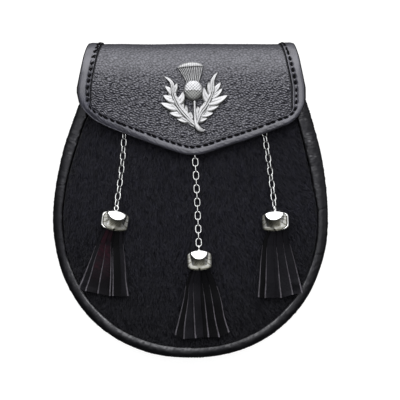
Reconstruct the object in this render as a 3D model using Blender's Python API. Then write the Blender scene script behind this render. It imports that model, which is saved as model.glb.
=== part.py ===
"""A semi-dress sporran: a kilt pouch with a fur front, a pointed flap, a thistle badge and three tassels.

It lies on its back: seen from above, +X is right, +Y points to the flap's fold, +Z comes out of the front.
The origin is on the surface it lies on, under the middle of the pouch. Lengths are metres; the tables of
places hold millimetres, which MM turns to metres.
"""

import math
from collections import Counter

import bmesh
import bpy
import numpy as np
from mathutils import Matrix, Vector

MM = 0.001
GAP = 0.3 * MM  # between pieces that touch on the real thing

# Pouch outline, seen from the front
HALF_WIDTH = 94.9 * MM
WIDEST_Y = -10.7 * MM
BELOW_WIDEST = 97.5 * MM  # from the widest place to the bottom edge
LOWER_POWER = 2.15
TAPER_HEIGHT = 203.9 * MM  # height at which the sides would meet
TAPER_POWER = 1.83
LEAN = 1.7 * MM  # the top of the pouch sits this far right of its bottom
LEAN_HEIGHT = 71.7 * MM
LEAN_POWER = 1.5
MOUTH_Y = 84.0 * MM

# Depths, from the surface it lies on
FRONT_RIM_Z = 30.0 * MM
FRONT_RIM_HEIGHT = 9.0 * MM
PANEL_EDGE_Z = 32.0 * MM
PANEL_DOME = 3.5 * MM
PANEL_RINGS = (1.0, 0.74, 0.42)  # rings of points on the dome, as shares of the way out from its middle
PANEL_THICK = 2.5 * MM
BACK_SLOPE = 0.036  # the back climbs toward the top, where the strap loops lift it
BACK_THICK = 2.0 * MM
BACK_RIM_WIDTH = 5.0 * MM
BACK_RIM_HEIGHT = 4.4 * MM
BACK_RIM_SET_IN = 1.0 * MM
BACK_RIM_TOP_Y = 80.0 * MM
BACK_PANEL_TOP_Y = 99.0 * MM
GUSSET_THICK = 1.4 * MM
GUSSET_FOLD = 4.0 * MM
# width of the front rim: y, on the left side, on the right side
RIM_WIDTHS = (
    (-108.0, 6.6, 6.6),
    (-34.0, 6.6, 7.2),
    (-6.5, 7.1, 7.7),
    (14.0, 7.6, 9.9),
    (35.0, 8.4, 10.6),
    (60.0, 8.6, 10.6),
)

# Flap
FLAP_UNDER_Z = 40.0 * MM
FLAP_THICK = 2.0 * MM
FLAP_HALF = 78.4 * MM
FLAP_CENTRE_X = 0.5 * MM
FLAP_CORNER = 13.0 * MM
FLAP_TIP_Y = 31.7 * MM
FLAP_REACH = 74.0 * MM  # where the two rises below are measured
FLAP_RISE = {"left": (27.7 * MM, 1.2), "right": (23.6 * MM, 1.3)}  # height at the reach, power of the curve
EDGE_SLANT = 1.07  # the lower edge slopes, so a line set in from it lies this much farther up
FOLD_START_Y = 86.0 * MM
FOLD_TOP_Y = 105.0 * MM
FOLD_BACK_Y = 96.0 * MM
FOLD_POWER = 2.2
LEG_END_Y = 84.0 * MM
FLAP_DROOP = 1.5 * MM  # how far the flap's sides hang below its middle
FLAP_FLAT_HALF = 28.0 * MM
# half width of the flap along its own length: share of the way over the fold, half width
FOLD_WIDTHS = ((0.0, 77.4), (0.2, 75.2), (0.36, 72.6), (0.46, 71.0), (0.8, 67.0), (1.0, 66.0))
BORDER_WIDTH = 9.0 * MM
BORDER_THICK = 1.2 * MM

# Strap loops on the back
LOOP_X = 38.0 * MM
LOOP_WIDTH = 22.0 * MM
LOOP_THICK = 1.8 * MM
LOOP_CLEAR = (43.0 * MM, 73.0 * MM)
LOOP_SLOPE = 4.0 * MM  # length of the slope at each end, from the back down to the flat
LOOP_FOOT = 8.0 * MM

STUD_Y = 52.0 * MM
STUD_RADIUS = 5.0 * MM
STUD_CAP_HEIGHT = 2.0 * MM
STUD_NECK = 0.6  # share of the cap's radius
STUD_SHOULDER = 0.4 * MM

# Chains: oval links of round wire
LINK_LENGTH = 6.4 * MM
LINK_WIDTH = 4.4 * MM
LINK_WIRE = 0.75 * MM
LINK_SIDES = 5
LINK_ARC_STEPS = 4
CHAIN_LIFT = 2.5 * MM  # chain centre above the fur
CHAIN_FALL = 0.2  # slope at which the chain runs down from the cap's ring to the fur
LINK_PLAY = 0.23 * MM  # between the last link and the ring
EYE_RADIUS = 1.7 * MM
STAPLE_WIRE = 0.9 * MM
STAPLE_HALF = 2.2 * MM

# Tassel caps
CAP_WIDTH = 17.6 * MM
CAP_HEIGHT = 13.6 * MM
CAP_PILLOW = 2.6 * MM
CAP_WALL = 1.0 * MM
CAP_SOCKET = 6.0 * MM
CAP_EDGE_TOP = 4.2 * MM
CAP_EDGE_MOUTH = 6.6 * MM
CAP_TAPER = 0.22  # how much narrower its top and mouth are than its middle
CAP_LEVELS = (1.0, 0.86, 0.5, 0.0, -0.5, -0.86, -1.0)  # sections from its top to its mouth

# Tassels: leather strips fused to a head
FRINGE_STRIPS = 8
SOCKET_ROWS = 2  # rows of points in the cap's socket
HEAD_ROWS = 4  # rows of points where the strips are still one piece
FRINGE_SHOULDER = 8.8 * MM  # half widths just below the cap and where the strips part
FRINGE_NECK = 9.6 * MM
FRINGE_THICK = (3.2 * MM, 2.8 * MM, 2.0 * MM, 1.4 * MM)  # at the head, the neck, half way down and the tips
HEAD_SLIT = 0.02 * MM
STRIP_SLIT = 0.5 * MM
TIP_SLIT = 0.8 * MM
FRINGE_DROP = 1.6 * MM  # from one row of points to the next, until it lies on the fur
FRINGE_LIFT = 0.8 * MM  # of the underside above the fur
FRINGE_ARC = 2.2 * MM  # how much shorter the outermost strips are
STRIP_STAGGER = 0.35 * MM

# cap centre x and y, lean and roll in degrees, fringe width at the tips and length, top link x and y, links
TASSELS = {
    "left": dict(cap=(-52.3, -13.4), lean=-9, roll=15, spread=34.3, length=45, top=(-45.3, 54.0), links=13,
                 link_roll=-30, bow=1.0),
    "centre": dict(cap=(6.1, -40.6), lean=2, roll=0, spread=37.5, length=47, top=(3.0, 31.3), links=14,
                   link_roll=0, bow=0.2),
    "right": dict(cap=(58.6, -13.7), lean=4, roll=-15, spread=30.6, length=46, top=(50.0, 51.4), links=13,
                  link_roll=30, bow=0.4),
}

# Thistle badge, in millimetres from the middle of the thistle's round head
BADGE_AT = (1.9, 75.9)
HEAD_RADIUS = 6.5
HEAD_HEIGHT = 4.6
TUFT_RIDGES = 9
# the tuft from its neck to its top: y, left x, right x, height of its ridges
TUFT_ROWS = ((5.0, -5.0, 4.0, 3.0), (10.5, -8.0, 5.6, 3.4), (16.4, -10.9, 7.0, 4.2))
TUFT_CROWN = 2.9  # how far the tuft's middle stands above its corners
TUFT_SIDE = 0.6  # the tuft's height at its sides, as a share of its middle's
TUFT_GROOVE = 0.7
RIB_SIDE = 0.8  # height of a rib's sides
BLADE_BELLY = 0.42  # where a leaf blade is widest, as a share of its length
BLADE_ROOT = 0.6  # its width at the rib, as a share of its greatest
BLADE_EDGE = 0.9
BLADE_RIDGE = 2.2
# centre lines: x, y, half width, height
STEM = ((0.8, -5.5, 1.0, 2.4), (1.0, -12.0, 1.1, 2.4), (1.3, -18.0, 1.3, 2.6), (2.0, -23.0, 1.7, 3.0),
        (4.6, -26.4, 2.2, 2.8), (7.2, -27.4, 0.7, 1.8))
LEFT_RIB = ((2.6, -24.6, 1.6, 2.4), (-3.0, -20.4, 1.7, 2.6), (-9.6, -12.8, 1.6, 2.4), (-13.6, -6.0, 1.5, 2.2),
            (-15.2, 1.5, 1.4, 2.2), (-15.8, 5.5, 1.2, 2.0), (-18.0, 8.6, 0.8, 1.6), (-20.4, 9.9, 0.3, 1.0))
RIGHT_RIB = ((2.4, -22.4, 1.5, 2.4), (5.4, -16.0, 1.7, 2.6), (9.4, -11.0, 1.7, 2.6), (13.2, -5.0, 1.6, 2.4),
             (14.6, 1.5, 1.5, 2.2), (14.2, 6.0, 1.3, 2.0), (14.6, 10.0, 0.9, 1.6), (17.4, 13.1, 0.3, 1.0))
# leaf blades: x and y at the rib, x and y at the tip, width
BLADES = (
    (-14.6, 0.0, -19.8, 3.0, 2.6), (-13.4, -5.5, -20.8, -3.4, 3.2), (-9.8, -12.0, -22.5, -8.2, 4.4),
    (-6.6, -16.2, -16.4, -15.2, 3.0), (-3.2, -20.0, -11.9, -19.0, 2.6), (-15.2, 0.6, -11.1, 5.7, 2.2),
    (-12.4, -8.4, -7.2, -0.2, 4.0), (-8.6, -12.8, -7.5, -7.5, 2.0), (-3.6, -17.6, -4.4, -9.8, 3.0),
    (13.4, 1.6, 19.3, 5.9, 2.2), (14.2, -3.6, 20.0, 1.6, 2.4), (11.6, -7.4, 23.9, -2.7, 4.6),
    (8.0, -12.6, 18.6, -9.9, 2.8), (7.2, -14.6, 14.2, -15.2, 2.4), (3.6, -20.0, 11.1, -17.4, 2.8),
    (13.8, -1.0, 10.8, 6.7, 3.2), (11.8, -6.6, 6.3, 3.1, 2.8), (8.6, -11.4, 7.5, -7.4, 2.6),
    (3.0, -19.0, 2.2, -10.9, 3.4), (-1.6, -20.6, 0.4, -14.0, 4.6),
)


def material(name, colour, roughness, metallic=0.0):
    made = bpy.data.materials.new(name)
    made.use_nodes = True
    shader = made.node_tree.nodes["Principled BSDF"]
    shader.inputs["Base Color"].default_value = (*colour, 1.0)
    shader.inputs["Roughness"].default_value = roughness
    shader.inputs["Metallic"].default_value = metallic
    return made


def new_mesh(name, points, faces, look, smooth=False):
    """A mesh with its faces turned outward."""
    mesh = bpy.data.meshes.new(name)
    mesh.from_pydata([tuple(map(float, point)) for point in points], [], faces)
    work = bmesh.new()
    work.from_mesh(mesh)
    bmesh.ops.recalc_face_normals(work, faces=work.faces[:])
    work.to_mesh(mesh)
    work.free()
    mesh.materials.append(look)
    if smooth:
        mesh.shade_smooth()
        mesh.set_sharp_from_angle(angle=math.radians(40))
    return mesh


def place_object(name, mesh, place=None):
    """An object of this mesh, moved and turned by place."""
    made = bpy.data.objects.new(name, mesh)
    bpy.context.scene.collection.objects.link(made)
    made.parent = bpy.data.objects["sporran"]
    if place is not None:
        made.matrix_basis = place
    return made


def add_object(name, points, faces, look, smooth=False, place=None):
    return place_object(name, new_mesh(name, points, faces, look, smooth), place)


def fuse(target, name, points, faces):
    """Joins a shape to target with a Boolean that uses a hidden object of it, placed as target is."""
    helper = add_object(name, points, faces, target.data.materials[0], place=target.matrix_basis)
    helper.hide_render = True
    helper.display_type = "WIRE"
    fused = target.modifiers.new("Fused", "BOOLEAN")
    fused.operation = "UNION"
    fused.object = helper
    fused.use_self = True


def grid_faces(rows, columns, closed=False):
    """Quads between neighbouring rows of points; closed joins each row's ends."""
    steps = columns if closed else columns - 1
    return [
        (row * columns + i, row * columns + (i + 1) % columns,
         (row + 1) * columns + (i + 1) % columns, (row + 1) * columns + i)
        for row in range(rows - 1)
        for i in range(steps)
    ]


def add_sheet(name, outer, inner, faces, look, smooth=False):
    """A closed sheet: outer and inner are its two sides, point for point, and faces index one side."""
    count = len(outer)
    edges = Counter(
        frozenset((face[i], face[(i + 1) % len(face)])) for face in faces for i in range(len(face))
    )
    walls = [
        (a, b, b + count, a + count)
        for face in faces
        for a, b in zip(face, face[1:] + face[:1])
        if edges[frozenset((a, b))] == 1
    ]
    underside = [tuple(index + count for index in reversed(face)) for face in faces]
    return add_object(name, [*outer, *inner], [*faces, *underside, *walls], look, smooth)


def unit_circle(sides):
    turns = [i * 2 * math.pi / sides for i in range(sides)]
    return [(math.cos(turn), math.sin(turn)) for turn in turns]


def lofted(sections):
    """Points and faces of a solid through closed sections of equal length, with a cap at each end."""
    columns = len(sections[0])
    points = [point for section in sections for point in section]
    last = (len(sections) - 1) * columns
    faces = grid_faces(len(sections), columns, closed=True)
    return points, [*faces, tuple(range(columns)), tuple(range(last, last + columns))]


# Pouch outline


def half_width(y):
    if y <= WIDEST_Y:
        share = min((WIDEST_Y - y) / BELOW_WIDEST, 1.0)
        return HALF_WIDTH * (1 - share**LOWER_POWER) ** (1 / LOWER_POWER)
    return HALF_WIDTH * (1 - ((y - WIDEST_Y) / TAPER_HEIGHT) ** TAPER_POWER)


def lean_at(y):
    return LEAN * (max(y - WIDEST_Y, 0.0) / LEAN_HEIGHT) ** LEAN_POWER


def outline_path(top_y, count):
    """Evenly spaced points down the left side from top_y, round the bottom and up the right side."""
    turns = np.linspace(0, math.pi / 2, 60)[1:]
    lower = [WIDEST_Y - BELOW_WIDEST * math.sin(turn) ** (2 / LOWER_POWER) for turn in turns]
    heights = [*np.linspace(top_y, WIDEST_Y, 40), *lower]
    left = [(lean_at(y) - half_width(y), y) for y in heights]
    right = [(lean_at(y) + half_width(y), y) for y in reversed(heights[:-1])]
    path = np.array([*left, *right])
    lengths = np.concatenate([[0], np.cumsum(np.linalg.norm(np.diff(path, axis=0), axis=1))])
    stations = np.linspace(0, lengths[-1], count)
    return np.stack([np.interp(stations, lengths, path[:, axis]) for axis in (0, 1)], axis=1)


def outward(path):
    """Unit normals pointing out of the pouch along an outline path."""
    along = np.gradient(path, axis=0)
    along /= np.linalg.norm(along, axis=1, keepdims=True)
    return np.stack([-along[:, 1], along[:, 0]], axis=1) * -1


def rim_widths(path):
    table = np.array(RIM_WIDTHS) * MM
    left = np.interp(path[:, 1], table[:, 0], table[:, 1])
    right = np.interp(path[:, 1], table[:, 0], table[:, 2])
    return np.where(path[:, 0] < 0, left, right)


def inset(path, distance):
    return path - outward(path) * np.reshape(distance, (-1, 1))


BACK_RIM_BOTTOM_Y = WIDEST_Y - BELOW_WIDEST + BACK_RIM_SET_IN + BACK_RIM_WIDTH / 2


def back_z(y):
    """Outer face of the back panel: its rim's lowest stretch rests on the surface below."""
    rim_drop = (BACK_RIM_HEIGHT - BACK_THICK) / 2
    return rim_drop + BACK_SLOPE * (y - BACK_RIM_BOTTOM_Y)


def panel_z(x, y):
    """Top of the fur front."""
    rise = y - WIDEST_Y
    inner_half = half_width(max(y, WIDEST_Y)) - RIM_WIDTHS[-1][1] * MM
    reach = MOUTH_Y - WIDEST_Y if rise > 0 else BELOW_WIDEST
    share = (abs(x - lean_at(y)) / inner_half) ** LOWER_POWER + (abs(rise) / reach) ** LOWER_POWER
    return PANEL_EDGE_Z + PANEL_DOME * max(0.0, 1 - share)


def front_z(x, y):
    """Top of whatever a tassel lies on at x and y: the fur, or the rim near the pouch's edge."""
    path = outline_path(MOUTH_Y, 120)
    distances = np.hypot(path[:, 0] - x, path[:, 1] - y)
    nearest = int(np.argmin(distances))
    if distances[nearest] > rim_widths(path)[nearest] + 2 * MM:
        return panel_z(x, y)
    return max(panel_z(x, y), FRONT_RIM_Z + FRONT_RIM_HEIGHT / 2)


# Pouch pieces


def add_rim(name, path, widths, height, centre_z, sides, look):
    """A rolled bead along a path, with a flat above, below and on each side."""
    normals = outward(path)
    turns = [(i + 0.5) * 2 * math.pi / sides for i in range(sides)]
    flat = math.cos(math.pi / sides)
    sections = [
        [
            (*(centre + normal * width / 2 * math.cos(turn) / flat),
             centre_z(centre[1]) + height / 2 * math.sin(turn) / flat)
            for turn in turns
        ]
        for centre, normal, width in zip(path, normals, widths)
    ]
    add_object(name, *lofted(sections), look, smooth=True)


def add_front_panel(look):
    path = outline_path(MOUTH_Y, 34)
    edge = inset(path, rim_widths(path) + GAP)
    mouth = [edge[-1] + (edge[0] - edge[-1]) * share for share in (0.25, 0.5, 0.75)]
    border = np.array([*edge, *mouth])
    centre = np.array((0.0, WIDEST_Y))
    rings = [centre + (border - centre) * share for share in PANEL_RINGS]
    flat = [*np.concatenate(rings), centre]
    outer = [(x, y, panel_z(x, y)) for x, y in flat]
    inner = [(x, y, z - PANEL_THICK) for x, y, z in outer]
    columns = len(border)
    faces = grid_faces(len(rings), columns, closed=True)
    hub, last = len(flat) - 1, (len(rings) - 1) * columns
    faces += [(last + i, last + (i + 1) % columns, hub) for i in range(columns)]
    add_sheet("front_panel", outer, inner, faces, look, smooth=True)


def add_back_panel(look):
    distance = BACK_RIM_SET_IN + BACK_RIM_WIDTH + GAP
    edge = inset(outline_path(BACK_PANEL_TOP_Y, 34), distance)
    outer = [(x, y, back_z(y)) for x, y in edge]
    inner = [(x, y, z + BACK_THICK) for x, y, z in outer]
    add_sheet("back_panel", outer, inner, [tuple(range(len(edge)))], look)


def add_gusset(look):
    path = outline_path(MOUTH_Y, 34)
    top_in = rim_widths(path) / 2
    foot_in = np.full(len(path), BACK_RIM_SET_IN + BACK_RIM_WIDTH / 2)
    top_z = FRONT_RIM_Z - FRONT_RIM_HEIGHT / 2 - GAP
    foot_lift = (BACK_RIM_HEIGHT + BACK_THICK) / 2 + GAP
    sides = {-GUSSET_THICK / 2: [], GUSSET_THICK / 2: []}
    for depth, points in sides.items():
        for share in (0.0, 0.5, 1.0):
            distance = top_in * (1 - share) + foot_in * share + depth
            distance = distance + GUSSET_FOLD * (1 - abs(2 * share - 1))
            for (x, y), (_, true_y) in zip(inset(path, distance), inset(path, foot_in)):
                foot_z = back_z(true_y) + foot_lift
                points.append((x, y, top_z * (1 - share) + foot_z * share))
    outer, inner = sides.values()
    add_sheet("gusset", outer, inner, grid_faces(3, len(path)), look, smooth=True)


def add_strap_loops(look):
    """Leather strips: flat on the surface below between their two feet, which are stitched to the back."""
    near, far = LOOP_CLEAR
    slope = LOOP_SLOPE / 2
    on_back = [near - LOOP_FOOT, near - slope], [far + slope, far + LOOP_FOOT]
    low = [(near + slope, LOOP_THICK), (far - slope, LOOP_THICK)]
    feet = [[(y, back_z(y) - GAP) for y in foot] for foot in on_back]
    rows = [*feet[0], *low, *feet[1]]
    top = [(side, y, z) for y, z in rows for side in (-LOOP_WIDTH / 2, LOOP_WIDTH / 2)]
    under = [(x, y, z - LOOP_THICK) for x, y, z in top]
    left = add_sheet("strap_loop_left", top, under, grid_faces(len(rows), 2), look)
    left.location.x = -LOOP_X
    place_object("strap_loop_right", left.data, Matrix.Translation((LOOP_X, 0, 0)))


# Flap: a sheet that is laid out flat as x and s, where s is y on the front and then follows the fold


def flap_profile():
    """The underside of the flap from its tip to the end of its leg on the back: y and z."""
    leg_z = back_z(FOLD_BACK_Y) - GAP
    middle_z = (FLAP_UNDER_Z + leg_z) / 2
    quarter = np.linspace(0, math.pi / 2, 25)
    front = [
        (FOLD_START_Y + (FOLD_TOP_Y - FOLD_START_Y) * math.sin(turn) ** (2 / FOLD_POWER),
         middle_z + (FLAP_UNDER_Z - middle_z) * math.cos(turn) ** (2 / FOLD_POWER))
        for turn in quarter
    ]
    back = [
        (FOLD_BACK_Y + (FOLD_TOP_Y - FOLD_BACK_Y) * math.cos(turn),
         middle_z - (middle_z - leg_z) * math.sin(turn))
        for turn in quarter[1:]
    ]
    ends = (FLAP_TIP_Y, FLAP_UNDER_Z), (LEG_END_Y, back_z(LEG_END_Y) - GAP)
    return np.array([ends[0], *front, *back, ends[1]])


PROFILE = flap_profile()
PROFILE_S = FLAP_TIP_Y + np.concatenate([[0], np.cumsum(np.linalg.norm(np.diff(PROFILE, axis=0), axis=1))])
FLAP_END_S = PROFILE_S[-1]


def flap_point(x, s, lift):
    """The place on the flap at x and s, lifted off its underside."""
    step = 0.2 * MM
    here, before, after = (
        np.array([np.interp(at, PROFILE_S, PROFILE[:, axis]) for axis in (0, 1)])
        for at in (s, s - step, s + step)
    )
    along = (after - before) / np.linalg.norm(after - before)
    normal = np.array((-along[1], along[0]))
    y, z = here + normal * lift
    droop = FLAP_DROOP * (max(abs(x) - FLAP_FLAT_HALF, 0) / (FLAP_HALF - FLAP_FLAT_HALF)) ** 2
    return (x + FLAP_CENTRE_X, y, z - droop * max(normal[1], 0.0))


def flap_half(s):
    share = (s - FOLD_START_Y) / (FLAP_END_S - FOLD_START_Y)
    if share <= 0:
        return float(np.interp(s, (SIDE_START_S, FOLD_START_Y), (FLAP_HALF, FOLD_WIDTHS[0][1] * MM)))
    table = np.array(FOLD_WIDTHS)
    return float(np.interp(share, table[:, 0], table[:, 1])) * MM


def flap_lower_edge(x, set_in=0.0):
    """s of the flap's lower edge at x, or of a line set in from it."""
    rise, power = FLAP_RISE["left" if x < 0 else "right"]
    corner = max(FLAP_CORNER - set_in, 1 * MM)
    past = max(abs(x) - (FLAP_HALF - set_in - corner), 0.0)
    edge = FLAP_TIP_Y + rise * (abs(x) / FLAP_REACH) ** power + set_in * EDGE_SLANT
    return edge + corner - math.sqrt(max(corner**2 - past**2, 0.0))


HALF_COLUMNS = (0.12, 0.34, 0.6, 0.83, 0.91, 0.965, 0.992, 1.0)  # places across the flap, closer at its corners
FLAP_COLUMNS = (*(-share for share in reversed(HALF_COLUMNS)), 0.0, *HALF_COLUMNS)
SIDE_START_S = 78 * MM  # above the lower corners, where the sides run straight
SIDE_S = [SIDE_START_S, *np.linspace(FOLD_START_Y, PROFILE_S[-2], 9), FLAP_END_S]


def add_flap(look):
    plan = []
    for share in (0.0, 0.5, 1.0):
        for column in FLAP_COLUMNS:
            x = column * FLAP_HALF
            low = flap_lower_edge(x)
            plan.append((x, low + (SIDE_START_S - low) * share))
    for s in SIDE_S[1:]:
        plan += [(column * flap_half(s), s) for column in FLAP_COLUMNS]
    outer = [flap_point(x, s, FLAP_THICK) for x, s in plan]
    inner = [flap_point(x, s, 0.0) for x, s in plan]
    rows = len(plan) // len(FLAP_COLUMNS)
    add_sheet("flap", outer, inner, grid_faces(rows, len(FLAP_COLUMNS)), look, smooth=True)


def border_line(set_in):
    """A line round the flap's edge: up the left side from the back, along the point and back up the right."""
    left = [(set_in - flap_half(s), s) for s in reversed(SIDE_S)]
    reach = FLAP_HALF - set_in
    lower = [(column * reach, flap_lower_edge(column * reach, set_in)) for column in FLAP_COLUMNS]
    right = [(flap_half(s) - set_in, s) for s in SIDE_S]
    return [*left, *lower, *right]


def add_flap_border(look):
    plan = [*border_line(0.0), *border_line(BORDER_WIDTH)]
    base = FLAP_THICK + GAP
    outer = [flap_point(x, s, base + BORDER_THICK) for x, s in plan]
    inner = [flap_point(x, s, base) for x, s in plan]
    add_sheet("flap_border", outer, inner, grid_faces(2, len(plan) // 2), look, smooth=True)


def add_stud(look):
    base_z = panel_z(0.0, STUD_Y) + GAP
    cap_z = base_z + STUD_CAP_HEIGHT
    neck_z = cap_z + STUD_SHOULDER
    sections = []
    for z, share in ((base_z, 1.0), (cap_z, 1.0), (neck_z, STUD_NECK), (FLAP_UNDER_Z - GAP, STUD_NECK)):
        radius = STUD_RADIUS * share
        sections.append([(radius * x, radius * y, z) for x, y in unit_circle(16)])
    place = Matrix.Translation((0, STUD_Y, 0))
    add_object("flap_stud", *lofted(sections), look, smooth=True, place=place)


# Badge


def badge_section(x, y, across, half, height):
    """A half-round section of a rib: a flat base, two short sides and a ridge."""
    shoulder, shoulder_z = half * 0.5, height * 0.85
    places = ((-half, 0), (-half, RIB_SIDE), (-shoulder, shoulder_z), (0, height),
              (shoulder, shoulder_z), (half, RIB_SIDE), (half, 0))
    return [(x + across[0] * side, y + across[1] * side, z) for side, z in places]


def badge_rib(table):
    line = np.array(table)
    along = np.gradient(line[:, :2], axis=0)
    along /= np.linalg.norm(along, axis=1, keepdims=True)
    sections = [
        badge_section(x, y, (-direction[1], direction[0]), half, height)
        for (x, y, half, height), direction in zip(line, along)
    ]
    return lofted(sections)


def badge_blade(base_x, base_y, tip_x, tip_y, width):
    """A leaf blade: widest before its middle, pointed at its tip, with a raised mid rib."""
    along = np.array((tip_x - base_x, tip_y - base_y))
    across = np.array((-along[1], along[0])) / np.linalg.norm(along) * width / 2
    base = np.array((base_x, base_y))
    belly = base + along * BLADE_BELLY
    root = across * BLADE_ROOT
    plan = [base - root, belly - across, base + along, belly + across, base + root]
    points = [(*place, 0.0) for place in plan] + [(*place, BLADE_EDGE) for place in plan]
    points += [(*base, BLADE_RIDGE), (*(base + along * 0.5), BLADE_RIDGE)]
    walls = [(i, (i + 1) % 5, 5 + (i + 1) % 5, 5 + i) for i in range(5)]
    top = [(9, 5, 10), (5, 6, 11, 10), (6, 7, 11), (7, 8, 11), (8, 9, 10, 11)]
    return points, [(4, 3, 2, 1, 0), *walls, *top]


def badge_head():
    """The thistle's round head: a low dome, a little fuller than a half ball."""
    rings = []
    for level in (0, 0.25, 0.5, 0.75):
        radius = HEAD_RADIUS * math.cos(level * math.pi / 2) ** 0.8
        height = HEAD_HEIGHT * math.sin(level * math.pi / 2)
        rings.append([(radius * x, radius * y, height) for x, y in unit_circle(16)])
    return lofted(rings)


def badge_tuft():
    """The thistle's tuft: a fan with raised strands, its top edge crowned."""
    sections = []
    steps = 2 * TUFT_RIDGES
    for row, (y, left, right, height) in enumerate(TUFT_ROWS):
        crown = TUFT_CROWN if row == len(TUFT_ROWS) - 1 else 0.0
        section = [(left, y, 0.0)]
        for step in range(steps + 1):
            share = step / steps
            groove = TUFT_GROOVE if step % 2 == 0 else 0.0
            bulge = 1 - (2 * share - 1) ** 2
            z = height * (TUFT_SIDE + (1 - TUFT_SIDE) * bulge) - groove
            section.append((left + (right - left) * share, y + crown * bulge, z))
        sections.append([*section, (right, y, 0.0)])
    return lofted(sections)


def add_badge(look):
    base_z = FLAP_UNDER_Z + FLAP_THICK + GAP
    place = Matrix.Translation((BADGE_AT[0] * MM, BADGE_AT[1] * MM, base_z))
    shapes = [badge_head(), badge_rib(STEM), badge_rib(LEFT_RIB), badge_rib(RIGHT_RIB)]
    shapes += [badge_blade(*blade) for blade in BLADES]
    points, faces = [], []
    for shape_points, shape_faces in shapes:
        start = len(points)
        points += [Vector(point) * MM for point in shape_points]
        faces += [tuple(start + index for index in face) for face in shape_faces]
    badge = add_object("thistle_badge", points, faces, look, place=place)
    tuft_points, tuft_faces = badge_tuft()
    fuse(badge, "tuft_shape", [Vector(point) * MM for point in tuft_points], tuft_faces)


# Tassels


def tube_round(path, radius, sides, closed=False):
    """Points and faces of round wire along a path."""
    path = [Vector(point) for point in path]
    count = len(path)
    turns = [(i + 0.5) * 2 * math.pi / sides for i in range(sides)]
    normal = None
    sections = []
    for i, point in enumerate(path):
        before = path[i - 1] if closed or i else point
        after = path[(i + 1) % count] if closed or i + 1 < count else point
        along = (after - before).normalized()
        if normal is None:
            normal = along.orthogonal().normalized()
        normal = (normal - along * normal.dot(along)).normalized()
        other = along.cross(normal)
        sections.append([point + (normal * math.cos(t) + other * math.sin(t)) * radius for t in turns])
    if not closed:
        return lofted(sections)
    points = [point for section in sections for point in section]
    faces = grid_faces(count + 1, sides, closed=True)
    return points, [tuple(index % len(points) for index in face) for face in faces]


def link_path():
    """Centre line of an oval link in its own plane: x across, y along the chain."""
    radius = (LINK_WIDTH - LINK_WIRE) / 2
    half_straight = (LINK_LENGTH - LINK_WIDTH) / 2
    points = []
    for end in (1, -1):
        for step in range(LINK_ARC_STEPS + 1):
            turn = math.pi * step / LINK_ARC_STEPS + (0 if end > 0 else math.pi)
            points.append(Vector((radius * math.cos(turn), end * half_straight + radius * math.sin(turn), 0)))
    return points


def cap_place(tassel):
    """The cap's own frame: its back on the fur, its ring toward the chain."""
    x, y = (value * MM for value in tassel["cap"])
    depth = CAP_EDGE_MOUTH / 2 + CAP_PILLOW
    spin = Matrix.Rotation(math.radians(tassel["lean"]), 4, "Z") @ Matrix.Rotation(
        math.radians(tassel["roll"]), 4, "Y")
    return Matrix.Translation((x, y, panel_z(x, y) + GAP + depth)) @ spin


def eye_centre():
    return Vector((0, CAP_HEIGHT / 2 + EYE_RADIUS, 0))


def chain_centres(tassel):
    """Centres of a chain's links from under the flap down to the cap's ring."""
    x, y = (value * MM for value in tassel["top"])
    top = Vector((x, y, panel_z(x, y) + CHAIN_LIFT))
    eye = cap_place(tassel) @ eye_centre()
    link_reach = (LINK_LENGTH - LINK_WIRE) / 2
    catch = EYE_RADIUS - LINK_WIRE - LINK_PLAY
    bottom = eye + (top - eye).normalized() * (link_reach + catch)
    centres = []
    for i in range(tassel["links"]):
        share = i / (tassel["links"] - 1)
        point = top.lerp(bottom, share)
        point.x += tassel["bow"] * MM * 4 * share * (1 - share)
        lying = panel_z(point.x, point.y) + CHAIN_LIFT
        falling = bottom.z - (point.y - bottom.y) * CHAIN_FALL
        point.z = max(lying, falling)
        centres.append(point)
    return centres


def add_chain(side, tassel, link_mesh):
    centres = chain_centres(tassel)
    for i, centre in enumerate(centres):
        before, after = centres[max(i - 1, 0)], centres[min(i + 1, len(centres) - 1)]
        up = (before - after).normalized()
        across = Vector((1, 0, 0))
        across = (across - up * across.dot(up)).normalized()
        frame = Matrix((across, up, across.cross(up))).transposed().to_4x4()
        roll = tassel["link_roll"] + (90 if i % 2 == 0 else 0)
        place = Matrix.Translation(centre) @ frame @ Matrix.Rotation(math.radians(roll), 4, "Y")
        place_object(f"chain_{side}_{i + 1:02d}", link_mesh, place)
    add_staple(side, centres[0], link_mesh.materials[0])


def add_staple(side, link_centre, look):
    """A wire staple whose bar runs through the top link."""
    bar = link_centre + Vector((0, (LINK_LENGTH - LINK_WIRE) / 2 - LINK_WIRE - GAP, 0))
    foot = panel_z(bar.x, bar.y) + GAP - bar.z
    corner = STAPLE_WIRE
    half = [(STAPLE_HALF, 0, foot), (STAPLE_HALF, 0, -corner), (STAPLE_HALF - corner, 0, 0)]
    path = [*half, *((-x, y, z) for x, y, z in reversed(half))]
    points, faces = tube_round(path, STAPLE_WIRE / 2, 6)
    add_object(f"chain_staple_{side}", points, faces, look, smooth=True, place=Matrix.Translation(bar))


def cap_edge(level):
    """Depth of the cap's side wall: deeper at its mouth, level -1, than at its closed top, level 1."""
    return (CAP_EDGE_TOP + CAP_EDGE_MOUTH) / 2 + (CAP_EDGE_TOP - CAP_EDGE_MOUTH) / 2 * level


def cap_half(level):
    return CAP_WIDTH / 2 * (1 - CAP_TAPER * abs(level) ** 5)


def cap_section(level, shrink=0.0):
    """A section of the cap across the chain: a cushion whose four facets meet in the middle of each face."""
    front = []
    for share in (-1.0, -0.72, 0.0, 0.72, 1.0):
        facet = 1 - (share**4 + level**4) ** 0.25
        pillow = 0.0 if shrink else CAP_PILLOW * max(facet, 0.0) ** 0.7
        front.append(((cap_half(level) - shrink) * share, cap_edge(level) / 2 - shrink + pillow))
    return front + [(x, -z) for x, z in reversed(front)]


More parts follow.
